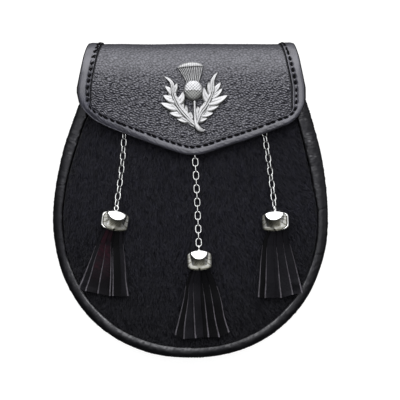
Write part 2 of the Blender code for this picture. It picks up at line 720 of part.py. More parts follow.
def add_cap(side, tassel, look):
    sections = [[(x, level * CAP_HEIGHT / 2, z) for x, z in cap_section(level)] for level in CAP_LEVELS]
    mouth = cap_section(-1.0, CAP_WALL)
    floor_y = CAP_SOCKET - CAP_HEIGHT / 2
    sections += [[(x, y, z) for x, z in mouth] for y in (-CAP_HEIGHT / 2, floor_y)]
    cap = add_object(f"tassel_cap_{side}", *lofted(sections), look, smooth=True, place=cap_place(tassel))
    turn = Matrix.Rotation(math.radians(tassel["link_roll"] + 90 * (tassel["links"] % 2 == 0)), 4, "Y")
    ring = [eye_centre() + turn @ Vector((EYE_RADIUS * x, EYE_RADIUS * y, 0)) for x, y in unit_circle(10)]
    fuse(cap, f"ring_shape_{side}", *tube_round(ring, LINK_WIRE / 2, 6, closed=True))


def fringe_rows(tassel):
    """Rows of the fringe from its head down: y in the cap's frame, half width, thickness, slit."""
    mouth_y = -CAP_HEIGHT / 2
    head_half = cap_half(-1.0) - CAP_WALL - GAP
    tip_half, length = tassel["spread"] / 2 * MM, tassel["length"] * MM
    middle_half = FRINGE_NECK * 0.45 + tip_half * 0.55
    head_thick, neck_thick, middle_thick, tip_thick = FRINGE_THICK
    return (
        (mouth_y + CAP_SOCKET - GAP, head_half, head_thick, HEAD_SLIT),
        (mouth_y - 0.4 * MM, head_half, head_thick, HEAD_SLIT),
        (mouth_y - 3.0 * MM, FRINGE_SHOULDER, head_thick, HEAD_SLIT),
        (mouth_y - 7.0 * MM, FRINGE_NECK, neck_thick, 0.1 * MM),
        (mouth_y - 0.55 * length, middle_half, middle_thick, STRIP_SLIT),
        (mouth_y - length, tip_half, tip_thick, TIP_SLIT),
    )


def add_fringe(side, tassel, look):
    """Leather strips that fan out of one head, which sits in the cap's socket."""
    place = cap_place(tassel)
    lean = Matrix.Translation(place.translation) @ Matrix.Rotation(math.radians(tassel["lean"]), 4, "Z")
    rows = fringe_rows(tassel)
    outer, inner = [], []
    for row, (y, half, thick, slit) in enumerate(rows):
        drop = FRINGE_DROP * (row - SOCKET_ROWS + 1)
        shorter_sides = FRINGE_ARC * max(row - HEAD_ROWS + 1, 0) / 2
        for strip in range(FRINGE_STRIPS):
            stagger = STRIP_STAGGER * (-1) ** strip if row >= HEAD_ROWS else 0.0
            for edge in (0, 1):
                share = (strip + edge) / FRINGE_STRIPS * 2 - 1
                x = half * share + slit / 2 * (1 - 2 * edge)
                if row < SOCKET_ROWS:
                    outer.append(place @ Vector((x, y, thick / 2)))
                    inner.append(place @ Vector((x, y, -thick / 2)))
                    continue
                spot = lean @ Vector((x, y + shorter_sides * share**2, 0))
                lying = front_z(spot.x, spot.y) + FRINGE_LIFT
                falling = place.translation.z - thick / 2 - drop
                low = max(lying, falling) + stagger
                inner.append((spot.x, spot.y, low))
                outer.append((spot.x, spot.y, low + thick))
    columns = 2 * FRINGE_STRIPS
    faces = []
    for face in grid_faces(len(rows), columns):
        row, column = divmod(face[0], columns)
        if row < HEAD_ROWS - 1 or column % 2 == 0:
            faces.append(face)
    add_sheet(f"tassel_{side}", outer, inner, faces, look)


def main():
    for old in list(bpy.data.objects):
        bpy.data.objects.remove(old)
    root = bpy.data.objects.new("sporran", None)
    bpy.context.scene.collection.objects.link(root)

    fur = material("black_hide_fur", (0.008, 0.008, 0.010), 0.75)
    smooth_leather = material("smooth_black_leather", (0.018, 0.018, 0.019), 0.42)
    grained_leather = material("grained_black_leather", (0.030, 0.030, 0.033), 0.50)
    strip_leather = material("tassel_leather", (0.014, 0.012, 0.013), 0.55)
    silver = material("silver_plate", (0.80, 0.80, 0.82), 0.22, 1.0)

    rim_path = outline_path(MOUTH_Y, 38)
    widths = rim_widths(rim_path)
    add_rim("front_rim", inset(rim_path, widths / 2), widths, FRONT_RIM_HEIGHT, lambda y: FRONT_RIM_Z, 8,
            smooth_leather)
    back_path = inset(outline_path(BACK_RIM_TOP_Y, 33), BACK_RIM_SET_IN + BACK_RIM_WIDTH / 2)
    add_rim("back_rim", back_path, [BACK_RIM_WIDTH] * len(back_path), BACK_RIM_HEIGHT,
            lambda y: back_z(y) + BACK_THICK / 2, 8, smooth_leather)
    add_front_panel(fur)
    add_back_panel(smooth_leather)
    add_gusset(smooth_leather)
    add_flap(grained_leather)
    add_flap_border(smooth_leather)
    add_stud(silver)
    add_badge(silver)
    add_strap_loops(smooth_leather)
    link_shape = tube_round(link_path(), LINK_WIRE / 2, LINK_SIDES, closed=True)
    link_mesh = new_mesh("link", *link_shape, silver, smooth=True)
    for side, tassel in TASSELS.items():
        add_cap(side, tassel, silver)
        add_fringe(side, tassel, strip_leather)
        add_chain(side, tassel, link_mesh)


main()
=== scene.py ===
import math
import bmesh
import bpy
import numpy as np
from mathutils import Matrix, Vector


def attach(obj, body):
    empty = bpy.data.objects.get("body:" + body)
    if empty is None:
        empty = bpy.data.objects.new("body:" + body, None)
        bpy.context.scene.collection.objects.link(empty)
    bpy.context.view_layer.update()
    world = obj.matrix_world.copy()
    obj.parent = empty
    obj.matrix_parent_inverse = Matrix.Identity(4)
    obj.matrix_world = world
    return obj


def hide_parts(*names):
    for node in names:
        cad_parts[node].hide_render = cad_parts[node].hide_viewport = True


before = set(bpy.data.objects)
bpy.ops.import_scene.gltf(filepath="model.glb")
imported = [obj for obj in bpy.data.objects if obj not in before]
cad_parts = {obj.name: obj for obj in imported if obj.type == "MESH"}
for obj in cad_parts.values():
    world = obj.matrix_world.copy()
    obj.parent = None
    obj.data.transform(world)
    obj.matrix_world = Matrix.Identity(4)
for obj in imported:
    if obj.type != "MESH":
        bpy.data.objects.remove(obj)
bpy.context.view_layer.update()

# Every length below is in millimetres; newPiece turns them to metres.
mm = 0.001
fullTurn = 2 * math.pi
seamGap = 0.3  # pieces that touch are this far apart, as in the CAD


def linear(hexColour):
    values = [int(hexColour[i:i + 2], 16) / 255 for i in (1, 3, 5)]
    return (*(v / 12.92 if v <= 0.04045 else ((v + 0.055) / 1.055) ** 2.4 for v in values), 1.0)


def setSockets(tree, node, inputs):
    for key, value in inputs.items():
        if isinstance(value, bpy.types.NodeSocket):
            tree.links.new(value, node.inputs[key])
        elif isinstance(value, str):
            node.inputs[key].default_value = linear(value)
        else:
            node.inputs[key].default_value = value


def addNode(tree, kind, inputs=None, stops=None, **settings):
    node = tree.nodes.new("ShaderNode" + kind)
    for key, value in settings.items():
        setattr(node, key, value)
    setSockets(tree, node, inputs or {})
    if stops:  # a colour ramp's places with a hex colour or a grey level at each
        ramp = node.color_ramp
        while len(ramp.elements) < len(stops):
            ramp.elements.new(0.5)
        for element, (place, colour) in zip(ramp.elements, stops):
            element.position = place
            element.color = linear(colour) if isinstance(colour, str) else (colour, colour, colour, 1)
    return node


def newMaterial(name, **sockets):
    made = bpy.data.materials.new(name)
    made.use_nodes = True
    tree = made.node_tree
    shader = tree.nodes["Principled BSDF"]
    setSockets(tree, shader, {key.replace("_", " "): value for key, value in sockets.items()})
    return made, tree, shader


def newMesh(name, points, faces):
    points = np.asarray(points, float).reshape(-1, 3)
    blocks = [np.atleast_2d(np.asarray(block, int)) for block in faces if len(block)]
    corners = np.concatenate([block.ravel() for block in blocks])
    sizes = np.concatenate([np.full(len(block), block.shape[1]) for block in blocks])
    mesh = bpy.data.meshes.new(name)
    mesh.vertices.add(len(points))
    mesh.vertices.foreach_set("co", (points * mm).ravel())
    mesh.loops.add(len(corners))
    mesh.loops.foreach_set("vertex_index", corners)
    mesh.polygons.add(len(sizes))
    mesh.polygons.foreach_set("loop_start", np.concatenate([[0], np.cumsum(sizes)[:-1]]))
    mesh.update(calc_edges=True)
    return mesh


def newPiece(name, points, faces, looks, slot, replaces=(), lookOf=None, outward=True, sharpAngle=None,
             **fields):
    # one mesh on the body; lookOf gives each face its look, and fields are values at the points for the looks
    mesh = newMesh(name, points, faces)
    for look in looks:
        mesh.materials.append(look)
    if lookOf is not None:
        mesh.polygons.foreach_set("material_index", np.asarray(lookOf, int))
    for key, values in fields.items():
        field = mesh.attributes.new(key, "FLOAT", "POINT")
        field.data.foreach_set("value", np.asarray(values, float).ravel())
    if outward:
        work = bmesh.new()
        work.from_mesh(mesh)
        bmesh.ops.recalc_face_normals(work, faces=work.faces[:])
        work.to_mesh(mesh)
        work.free()
    mesh.shade_smooth()
    if sharpAngle:
        mesh.set_sharp_from_angle(angle=math.radians(sharpAngle))
    piece = bpy.data.objects.new(name, mesh)
    bpy.context.scene.collection.objects.link(piece)
    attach(piece, "root")
    if replaces:
        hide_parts(*replaces)


def gridFaces(rows, columns, closed=False):
    # four-sided faces between the points of a grid
    steps = columns if closed else columns - 1
    row, column = np.meshgrid(np.arange(rows - 1), np.arange(steps), indexing="ij")
    here = row * columns + column
    beside = row * columns + (column + 1) % columns
    return np.stack([here, beside, beside + columns, here + columns], -1).reshape(-1, 4)


def edgeOf(rows, columns):
    # indices once round a grid's edge
    top = np.arange(columns - 1)
    right = np.arange(rows - 1) * columns + columns - 1
    bottom = (rows - 1) * columns + np.arange(columns - 1, 0, -1)
    left = np.arange(rows - 1, 0, -1) * columns
    return np.concatenate([top, right, bottom, left])


def backedSheet(front, back, step=1):
    # a closed sheet; its back may have only every step-th row and column of its front
    rows, columns = front.shape[:2]
    backRows, backColumns = back.shape[:2]
    offset = rows * columns
    points = np.concatenate([front.reshape(-1, 3), back.reshape(-1, 3)])
    fine = edgeOf(rows, columns)
    coarse = edgeOf(backRows, backColumns) + offset
    group = np.arange(len(fine)) // step
    walls = np.stack([fine, np.roll(fine, -1), coarse[group]], -1)
    ends = np.roll(fine[::step], -1)
    closers = np.stack([ends, np.roll(coarse, -1), coarse], -1)
    faces = [gridFaces(rows, columns), gridFaces(backRows, backColumns)[:, ::-1] + offset, walls, closers]
    return points, faces


def lofted(sections):
    # closed sections of equal length, with a lid at each end
    sections = np.asarray(sections, float)
    rows, columns = sections.shape[:2]
    lids = np.stack([np.arange(columns), (rows - 1) * columns + np.arange(columns)])
    return sections.reshape(-1, 3), [gridFaces(rows, columns, closed=True), lids]


def joined(shapes):
    # several shapes as one list of points and faces
    points, faces, start = [], [], 0
    for shapePoints, shapeFaces in shapes:
        points.append(np.asarray(shapePoints, float).reshape(-1, 3))
        faces += [np.atleast_2d(block) + start for block in shapeFaces]
        start += len(points[-1])
    return np.concatenate(points), faces


def copies(points, faces, places, turns):
    # one shape repeated: places are k points, turns are k frames with its axes as rows
    points = np.asarray(points, float)
    spread = np.einsum("ij,kjl->kil", points, turns) + places[:, None, :]
    starts = np.arange(len(places)) * len(points)
    repeated = [(block[None] + starts[:, None, None]).reshape(-1, block.shape[1]) for block in faces]
    return spread.reshape(-1, 3), repeated


def unit(vectors):
    return vectors / np.maximum(np.linalg.norm(vectors, axis=-1, keepdims=True), 1e-9)


def turnAbout(axis, degrees):
    return np.array(Matrix.Rotation(math.radians(degrees), 3, axis))


def tube(path, radius, sides, closed=False):
    # round wire along a path; radius may change along it
    path = np.asarray(path, float)
    along = unit(np.roll(path, -1, 0) - np.roll(path, 1, 0) if closed else np.gradient(path, axis=0))
    normal = np.cross(along[0], (0.31, 0.17, 0.93))
    turns = (np.arange(sides) + 0.5) * fullTurn / sides
    sections = []
    for point, direction, size in zip(path, along, np.broadcast_to(radius, len(path))):
        normal = unit(normal - direction * np.dot(normal, direction))
        other = np.cross(direction, normal)
        sections.append(point + size * (np.outer(np.cos(turns), normal) + np.outer(np.sin(turns), other)))
    if not closed:
        return lofted(sections)
    count = len(path) * sides
    return np.concatenate(sections), [gridFaces(len(path) + 1, sides, closed=True) % count]


def lengthsAlong(path):
    return np.concatenate([[0], np.cumsum(np.linalg.norm(np.diff(path, axis=0), axis=1))])


def ripples(x, y, length, seed):
    # smooth random waves about this long, mostly between -1 and 1
    waves = 9
    dice = np.random.default_rng(seed)
    total = 0.0
    for _ in range(waves):
        turn, phase, stretch = dice.uniform(0, fullTurn), dice.uniform(0, fullTurn), dice.uniform(0.65, 1.5)
        total = total + np.sin((x * np.cos(turn) + y * np.sin(turn)) * fullTurn / (length * stretch) + phase)
    return total / math.sqrt(waves)


def smoothStep(low, high, value):
    share = np.clip((value - low) / (high - low), 0, 1)
    return share * share * (3 - 2 * share)


def hill(value, middle, spread):
    # 1 at the middle, and close to 0 at twice the spread from it
    return np.exp(-((value - middle) / spread) ** 2)


def cellValue(column, row, mix, seed=0.0):
    # a value from 0 to 1 for each cell of a grid, with no order to it
    return (np.sin(column * mix[0] + row * mix[1] + seed) * mix[2]) % 1


def pebbles(x, y, pitch, stretch, seed):
    # 0 in the creases between pebbles, up to about 1 in their middles; upright creases are shallow
    u, v = x / (pitch * stretch), y / pitch
    nearest, second = np.full(np.shape(u), 9.0), np.full(np.shape(u), 9.0)
    toNearest, toSecond = np.zeros((2, *np.shape(u))), np.zeros((2, *np.shape(u)))
    for du in (-1, 0, 1):
        for dv in (-1, 0, 1):
            row = np.floor(v) + dv
            shifted = u + 0.5 * (row % 2)  # rows laid like bricks
            column = np.floor(shifted) + du
            middleU = column + 0.1 + 0.8 * cellValue(column, row, (127.1, 311.7, 43758.5453), seed)
            middleV = row + 0.15 + 0.7 * cellValue(column, row, (269.5, 183.3, 24634.6345), seed)
            gap = np.stack([middleU - shifted, middleV - v])
            away = np.hypot(*gap)
            toSecond = np.where(away < nearest, toNearest, np.where(away < second, gap, toSecond))
            toNearest = np.where(away < nearest, gap, toNearest)
            second = np.minimum(second, np.maximum(nearest, away))
            nearest = np.minimum(nearest, away)
    between = toSecond - toNearest
    upright = (between[0] / np.maximum(np.hypot(*between), 1e-6)) ** 4
    inside = second - nearest
    return inside + 0.13 * upright * (1 - smoothStep(0.0, 0.5, inside))


# black leather dye has a violet blue cast, which its wax finish takes on in its shine
coolTint = "#dcdce9"


def perMillimetre(size):
    # texture scale for features of this size
    return 1 / (size * mm)


def makeSmoothLeather(name, colour, worn, roughness, grainSize=0.5, grainDepth=0.05, shine=0.5):
    # calf leather, dyed black in the drum, then waxed and glazed: a soft broad shine broken by fine wrinkles
    made, tree, shader = newMaterial(name, IOR=1.5, Specular_IOR_Level=shine, Specular_Tint=coolTint,
                                     Coat_Roughness=roughness[0], Coat_IOR=1.5)
    where = addNode(tree, "TexCoord").outputs["Object"]
    patches = addNode(tree, "TexNoise", {"Vector": where, "Scale": perMillimetre(9), "Detail": 4.0})
    grain = addNode(tree, "TexNoise", {"Vector": where, "Scale": perMillimetre(grainSize), "Detail": 3.0})
    pores = addNode(tree, "TexVoronoi", {"Vector": where, "Scale": perMillimetre(grainSize * 1.6)})
    tone = addNode(tree, "ValToRGB", {"Fac": patches.outputs["Fac"]}, stops=((0.35, colour), (0.7, worn)))
    gloss = addNode(tree, "MapRange", {"Value": patches.outputs["Fac"], "From Min": 0.3, "From Max": 0.7,
                                       "To Min": roughness[0], "To Max": roughness[1]})
    first = addNode(tree, "Bump", {"Height": grain.outputs["Fac"], "Distance": grainDepth * mm,
                                   "Strength": 0.6})
    second = addNode(tree, "Bump", {"Height": pores.outputs["Distance"], "Distance": grainDepth * 0.6 * mm,
                                    "Strength": 0.5, "Normal": first.outputs["Normal"]})
    setSockets(tree, shader, {"Base Color": tone.outputs["Color"], "Roughness": gloss.outputs["Result"],
                              "Normal": second.outputs["Normal"]})
    return made


def makePebbleLeather(name):
    # shrunken full-grain cowhide under a clear finish: pebbles that shine on top, dull creases painted dark
    # as shade
    made, tree, shader = newMaterial(name, IOR=1.5, Specular_Tint=coolTint, Coat_Roughness=0.3, Coat_IOR=1.5)
    where = addNode(tree, "TexCoord").outputs["Object"]
    height = addNode(tree, "Attribute", attribute_name="pebble").outputs["Fac"]
    fine = addNode(tree, "TexNoise", {"Vector": where, "Scale": perMillimetre(0.35), "Detail": 2.0})
    patches = addNode(tree, "TexNoise", {"Vector": where, "Scale": perMillimetre(14), "Detail": 3.0})
    creases = addNode(tree, "TexVoronoi", {"Vector": where, "Scale": perMillimetre(1.3)})
    # painted shade: the colour darkens from the pebbles' tops down into the creases
    tone = addNode(tree, "ValToRGB", {"Fac": height},
                   stops=((0.0, "#010102"), (0.32, "#101013"), (0.75, "#2e2e37")))
    gloss = addNode(tree, "MapRange", {"Value": height, "From Max": 0.6, "To Min": 0.8, "To Max": 0.4})
    finish = addNode(tree, "MapRange", {"Value": height, "From Min": 0.15, "From Max": 0.7})
    uneven = addNode(tree, "MapRange", {"Value": patches.outputs["Fac"], "To Min": -0.05, "To Max": 0.05})
    total = addNode(tree, "Math", {0: gloss.outputs["Result"], 1: uneven.outputs["Result"]}, operation="ADD")
    first = addNode(tree, "Bump", {"Height": fine.outputs["Fac"], "Distance": 0.03 * mm, "Strength": 0.5})
    second = addNode(tree, "Bump", {"Height": creases.outputs["Distance"], "Distance": 0.12 * mm,
                                    "Strength": 0.5, "Normal": first.outputs["Normal"]})
    setSockets(tree, shader, {"Base Color": tone.outputs["Color"], "Roughness": total.outputs["Value"],
                              "Coat Weight": finish.outputs["Result"], "Normal": second.outputs["Normal"]})
    return made


def makeHairLook(name):
    # hide with its short hair on, dyed black: each hair is glossy, together they look deep and soft
    made, tree, shader = newMaterial(name, Roughness=0.55, IOR=1.45, Specular_IOR_Level=0.22,
                                     Specular_Tint=coolTint)
    tone = addNode(tree, "Attribute", attribute_name="tone").outputs["Fac"]
    colour = addNode(tree, "ValToRGB", {"Fac": tone},
                     stops=((0.0, "#030305"), (0.5, "#0f0f16"), (0.8, "#1c1c27"), (1.0, "#2e2e3b")))
    setSockets(tree, shader, {"Base Color": colour.outputs["Color"]})
    return made


def makeMatte(name, colour, spots, roughness, size, shine=0.5):
    # a flat, dry surface such as split leather, raw hide or a cut edge: no shine, a little mottled
    made, tree, shader = newMaterial(name, Roughness=roughness, IOR=1.5, Specular_IOR_Level=shine)
    where = addNode(tree, "TexCoord").outputs["Object"]
    noise = addNode(tree, "TexNoise", {"Vector": where, "Scale": perMillimetre(size), "Detail": 5.0})
    tone = addNode(tree, "ValToRGB", {"Fac": noise.outputs["Fac"]}, stops=((0.3, colour), (0.7, spots)))
    relief = addNode(tree, "Bump", {"Height": noise.outputs["Fac"], "Distance": size * 0.15 * mm,
                                    "Strength": 0.6})
    setSockets(tree, shader, {"Base Color": tone.outputs["Color"], "Normal": relief.outputs["Normal"]})
    return made


def makeThread(name):
    # waxed linen thread, three plies twisted; the ply is drawn 0.6 mm long so that it shows
    made, tree, shader = newMaterial(name, Base_Color="#010102", Roughness=0.8, IOR=1.5,
                                     Specular_IOR_Level=0.08)
    where = addNode(tree, "TexCoord").outputs["Object"]
    twist = addNode(tree, "TexWave", {"Vector": where, "Scale": perMillimetre(0.6) / 3, "Distortion": 2.0},
                    bands_direction="DIAGONAL")
    relief = addNode(tree, "Bump", {"Height": twist.outputs["Fac"], "Distance": 0.05 * mm, "Strength": 0.5})
    setSockets(tree, shader, {"Normal": relief.outputs["Normal"]})
    return made


def makeSilver(name, colour, roughness):
    # brass stamped thin and silver plated: a bright mirror with polishing haze, dull and brownish grey to
    # black where it has tarnished and where shade is painted on
    made, tree, shader = newMaterial(name, Metallic=1.0)
    where = addNode(tree, "TexCoord").outputs["Object"]
    tarnish = addNode(tree, "Attribute", attribute_name="tarnish").outputs["Fac"]
    haze = addNode(tree, "TexNoise", {"Vector": where, "Scale": perMillimetre(2.5), "Detail": 4.0})
    uneven = addNode(tree, "MapRange", {"Value": haze.outputs["Fac"], "From Min": 0.3, "From Max": 0.7,
                                        "To Min": -0.06, "To Max": 0.06})
    mixed = addNode(tree, "Math", {0: tarnish, 1: uneven.outputs["Result"]}, operation="ADD")
    tone = addNode(tree, "ValToRGB", {"Fac": mixed.outputs["Value"]},
                   stops=((0.0, colour), (0.35, "#a2a3a3"), (0.55, "#727270"), (0.75, "#605f57"),
                          (1.0, "#161411")))
    gloss = addNode(tree, "MapRange", {"Value": mixed.outputs["Value"], "To Min": roughness[0],
                                       "To Max": roughness[1]})
    relief = addNode(tree, "Bump", {"Height": haze.outputs["Fac"], "Distance": 0.03 * mm, "Strength": 0.12})
    setSockets(tree, shader, {"Base Color": tone.outputs["Color"], "Roughness": gloss.outputs["Result"],
                              "Normal": relief.outputs["Normal"]})
    return made


def makePewter(name):
    # pewter, cast and then buffed: bright on its high places, dark patina in its hollows, plus painted shade
    # and highlight
    made, tree, shader = newMaterial(name, Metallic=1.0)
    where = addNode(tree, "TexCoord").outputs["Object"]
    hollow = addNode(tree, "Attribute", attribute_name="hollow").outputs["Fac"]
    cast = addNode(tree, "TexNoise", {"Vector": where, "Scale": perMillimetre(0.9), "Detail": 4.0})
    mixed = addNode(tree, "Math", {0: cast.outputs["Fac"], 1: 0.25, 2: hollow}, operation="MULTIPLY_ADD")
    tone = addNode(tree, "ValToRGB", {"Fac": mixed.outputs["Value"]},
                   stops=((0.0, "#a6a7aa"), (0.13, "#99999b"), (0.4, "#777877"), (0.75, "#33342f"),
                          (1.0, "#0c0d0b")))
    gloss = addNode(tree, "MapRange", {"Value": mixed.outputs["Value"], "From Max": 1.0, "To Min": 0.48,
                                       "To Max": 0.62})
    relief = addNode(tree, "Bump", {"Height": cast.outputs["Fac"], "Distance": 0.08 * mm, "Strength": 0.4})
    setSockets(tree, shader, {"Base Color": tone.outputs["Color"], "Roughness": gloss.outputs["Result"],
                              "Normal": relief.outputs["Normal"]})
    return made


def wearFinish(material, most):
    # the clear finish is thinner wherever the strip was bent and rubbed: there it is darker and dull
    tree = material.node_tree
    left = addNode(tree, "Attribute", attribute_name="finish").outputs["Fac"]
    coat = addNode(tree, "Math", {0: left, 1: most}, operation="MULTIPLY")
    setSockets(tree, tree.nodes["Principled BSDF"], {"Coat Weight": coat.outputs["Value"]})
    return material


def fadeDye(material):
    # oxblood leather with black rubbed into it: the red shows in specks, and gives way to black at the tips
    tree = material.node_tree
    shader = tree.nodes["Principled BSDF"]
    under = shader.inputs["Base Color"].links[0].from_socket
    dyed = addNode(tree, "Attribute", attribute_name="dyed").outputs["Fac"]
    tone = addNode(tree, "Mix", {0: dyed, 6: "#040304", 7: under}, data_type="RGBA")
    setSockets(tree, shader, {"Base Color": tone.outputs[2]})
    return material


def paintHighlightAndBurnish(material):
    # a welt's inner edge is rubbed glossy by use, and a pale colour is painted on as highlight where it is
    # worn
    tree = material.node_tree
    shader = tree.nodes["Principled BSDF"]
    worn = addNode(tree, "Attribute", attribute_name="worn").outputs["Fac"]
    under = shader.inputs["Base Color"].links[0].from_socket
    # the pale colour here is a painted highlight
    tone = addNode(tree, "Mix", {0: worn, 6: under, 7: "#565659"}, data_type="RGBA")
    polish = addNode(tree, "Attribute", attribute_name="polish").outputs["Fac"]
    gloss = addNode(tree, "Math", {0: worn, 1: polish}, operation="ADD")
    setSockets(tree, shader, {"Base Color": tone.outputs[2], "Coat Weight": gloss.outputs["Value"]})
    return material


weltLeather = makeSmoothLeather("waxedCalfLeather", "#050506", "#0b0b0e", (0.3, 0.44), 0.55, 0.08, shine=0.3)
paintedHighlightWelt = paintHighlightAndBurnish(makeSmoothLeather("paintedHighlightCalfLeather", "#040405", "#0a0a0c", (0.3, 0.44), 0.55, 0.08,
                                       shine=0.18))
borderLeather = wearFinish(makeSmoothLeather("glazedStripLeather", "#1f1f25", "#2e2e36", (0.34, 0.46), 0.4,
                                             0.05), 0.9)
edgePaint = makeMatte("blackEdgePaint", "#020203", "#050506", 0.8, 0.6, 0.12)
bodyLeather = makeSmoothLeather("bridleLeather", "#121214", "#1d1d20", (0.42, 0.58), 0.6, 0.06)
pebbleLeather = makePebbleLeather("shrunkenCowhide")
liningLook = makeMatte("suedeLining", "#2e2d2e", "#3c3b3d", 0.9, 0.5)
hairLook = makeHairLook("dyedHideHair")
skinLook = makeMatte("dyedRawHide", "#060607", "#0c0c0e", 0.9, 0.8)
threadLook = makeThread("waxedLinenThread")
silverLook = makeSilver("silverPlatedBrass", "#e4e4e4", (0.13, 0.38))
pewterLook = makePewter("castPewter")
# the tassels' strips, of three leathers, and the pale inside of the leather where it is cut
stripLook = makeSmoothLeather("strapLeather", "#020203", "#0b0a0d", (0.5, 0.7), 1.3, 0.3, 0.11)
deepStripLook = makeSmoothLeather("blackStrapLeather", "#020202", "#050505", (0.6, 0.8), 1.3, 0.3, 0.08)
brownStripLook = fadeDye(makeSmoothLeather("oxbloodStrapLeather", "#0b0307", "#240912", (0.5, 0.7), 1.3, 0.3,
                                           0.1))
cutEdgeLook = makeMatte("cutLeatherEdge", "#19171c", "#413e45", 0.8, 2.6)
print("materials made:", len(bpy.data.materials))


# the pouch's outline from the front, and how high its front and back lie
pouch = dict(
    halfWidth=94.9, widestY=-10.7, belowWidest=97.5, lowerPower=2.15, taperHeight=203.9, taperPower=1.83,
    lean=1.7, leanHeight=71.7, leanPower=1.5, mouthY=84.0,
    panelEdgeZ=32.0, panelDome=3.5, panelThick=2.5,
    backSlope=0.036, backThick=2.0, backBottomY=-104.7, backLift=1.2,
)
# front welt: y, its width on the left and on the right
weltWidths = ((-108.0, 7.9, 7.6), (-60.0, 7.8, 7.6), (-34.0, 7.2, 7.4), (-6.5, 7.1, 7.7),
              (14.0, 7.6, 9.9), (35.0, 8.4, 10.6), (60.0, 8.6, 10.6))


def halfWidth(y):
    below = np.clip((pouch["widestY"] - y) / pouch["belowWidest"], 0, 1)
    above = np.clip((y - pouch["widestY"]) / pouch["taperHeight"], 0, None)
    lower = (1 - below ** pouch["lowerPower"]) ** (1 / pouch["lowerPower"])
    return pouch["halfWidth"] * np.where(y <= pouch["widestY"], lower, 1 - above ** pouch["taperPower"])


def leanAt(y):
    return pouch["lean"] * (np.maximum(y - pouch["widestY"], 0) / pouch["leanHeight"]) ** pouch["leanPower"]


def outlinePath(topY, count):
    # evenly spaced points down the left side, round the bottom and up the right side
    turns = np.linspace(0, math.pi / 2, 300)[1:]
    lower = pouch["widestY"] - pouch["belowWidest"] * np.sin(turns) ** (2 / pouch["lowerPower"])
    heights = np.concatenate([np.linspace(topY, pouch["widestY"], 150), lower])
    left = np.stack([leanAt(heights) - halfWidth(heights), heights], -1)
    right = np.stack([leanAt(heights) + halfWidth(heights), heights], -1)[-2::-1]
    path = np.concatenate([left, right])
    lengths = lengthsAlong(path)
    stations = np.linspace(0, lengths[-1], count)
    return np.stack([np.interp(stations, lengths, path[:, axis]) for axis in (0, 1)], -1), stations


def outwardOf(path):
    along = unit(np.gradient(path, axis=0))
    return np.stack([along[:, 1], -along[:, 0]], -1)


def weltWidthAt(path):
    table = np.array(weltWidths)
    left, right = (np.interp(path[:, 1], table[:, 0], table[:, i]) for i in (1, 2))
    return np.where(path[:, 0] < 0, left, right)


def inset(path, distance):
    return path - outwardOf(path) * np.reshape(distance, (-1, 1))


def backZ(y):
    return pouch["backLift"] + pouch["backSlope"] * (y - pouch["backBottomY"])


def panelZ(x, y):
    # the dome of the fur front
    rise = y - pouch["widestY"]
    innerHalf = halfWidth(np.maximum(y, pouch["widestY"])) - weltWidths[-1][1]
    reach = np.where(rise > 0, pouch["mouthY"] - pouch["widestY"], pouch["belowWidest"])
    power = pouch["lowerPower"]
    share = (np.abs(x - leanAt(y)) / innerHalf) ** power + (np.abs(rise) / reach) ** power
    return pouch["panelEdgeZ"] + pouch["panelDome"] * np.maximum(0, 1 - share)


outlineMarks = outlinePath(pouch["mouthY"], 900)[0][::3]
widthMarks = weltWidthAt(outlineMarks)


def fromOutline(x, y):
    # distance inside the outline, and the welt's width there; worked out in parts to spare memory
    away, width = [], []
    for part in np.array_split(np.arange(len(x)), max(len(x) // 4000, 1)):
        gaps = np.hypot(x[part, None] - outlineMarks[:, 0], y[part, None] - outlineMarks[:, 1])
        nearest = np.argmin(gaps, axis=1)
        away.append(gaps[np.arange(len(part)), nearest])
        width.append(widthMarks[nearest])
    return np.concatenate(away), np.concatenate(width)


def discSheet(edge, centre, shares, topOf, bottomOf):
    # a closed sheet of any outline, in rings that shrink toward a centre
    rings = np.stack([centre + (edge - centre) * share for share in shares])
    rows, columns = rings.shape[:2]
    flat = np.concatenate([rings.reshape(-1, 2), [centre]])
    count = len(flat)
    upper = np.column_stack([flat, topOf(flat[:, 0], flat[:, 1])])
    lower = np.column_stack([flat, bottomOf(flat[:, 0], flat[:, 1])])
    quads = gridFaces(rows, columns, closed=True)
    last = (rows - 1) * columns + np.arange(columns)
    hub = np.stack([last, np.roll(last, -1), np.full(columns, count - 1)], -1)
    first = np.arange(columns)
    walls = np.stack([first, np.roll(first, -1), np.roll(first, -1) + count, first + count], -1)
    return np.concatenate([upper, lower]), [quads, quads[:, ::-1] + count, hub, hub[:, ::-1] + count, walls]


def pathFrames(path, normals):
    along = unit(np.gradient(path, axis=0))
    side = unit(np.cross(normals, along))
    return along, side, np.cross(along, side)


def stitchShape(length, thick, bow):
    # a short length of thread that dives into a hole at each end
    share = np.linspace(-1, 1, 9)
    path = np.stack([share * length / 2, 0 * share, bow * (1 - share ** 2) - thick * 0.35], -1)
    return tube(path, thick / 2 * (1 - 0.35 * share ** 4), 8)


def stitchesAlong(path, normals, pitch, length, thick, slant, bow, seed=3, start=0.5, stretch=1.0):
    # stitches on leather that faces along the normals; slant and stretch may change along the path
    dice = np.random.default_rng(seed)
    lengths = lengthsAlong(path)
    count = int((lengths[-1] - start) // pitch)
    at = start + pitch * (np.arange(count) + 0.5) + dice.uniform(-0.12, 0.12, count) * pitch
    along, side, up = pathFrames(path, normals)
    pick = [np.stack([np.interp(at, lengths, block[:, i]) for i in range(3)], -1)
            for block in (path, along, side, up)]
    places, along, side, up = pick[0], *(unit(block) for block in pick[1:])
    leans = np.interp(at, lengths, np.broadcast_to(slant, len(lengths)))
    turn = np.radians(leans + dice.uniform(-6, 6, count))[:, None]
    first = unit(along * np.cos(turn) + side * np.sin(turn))
    frames = np.stack([first, np.cross(up, first), up], 1)
    frames = frames * dice.uniform(0.92, 1.1, count)[:, None, None]
    frames[:, 0] *= np.interp(at, lengths, np.broadcast_to(stretch, len(lengths)))[:, None]
    return copies(*stitchShape(length, thick, bow), places, frames), at, places, frames


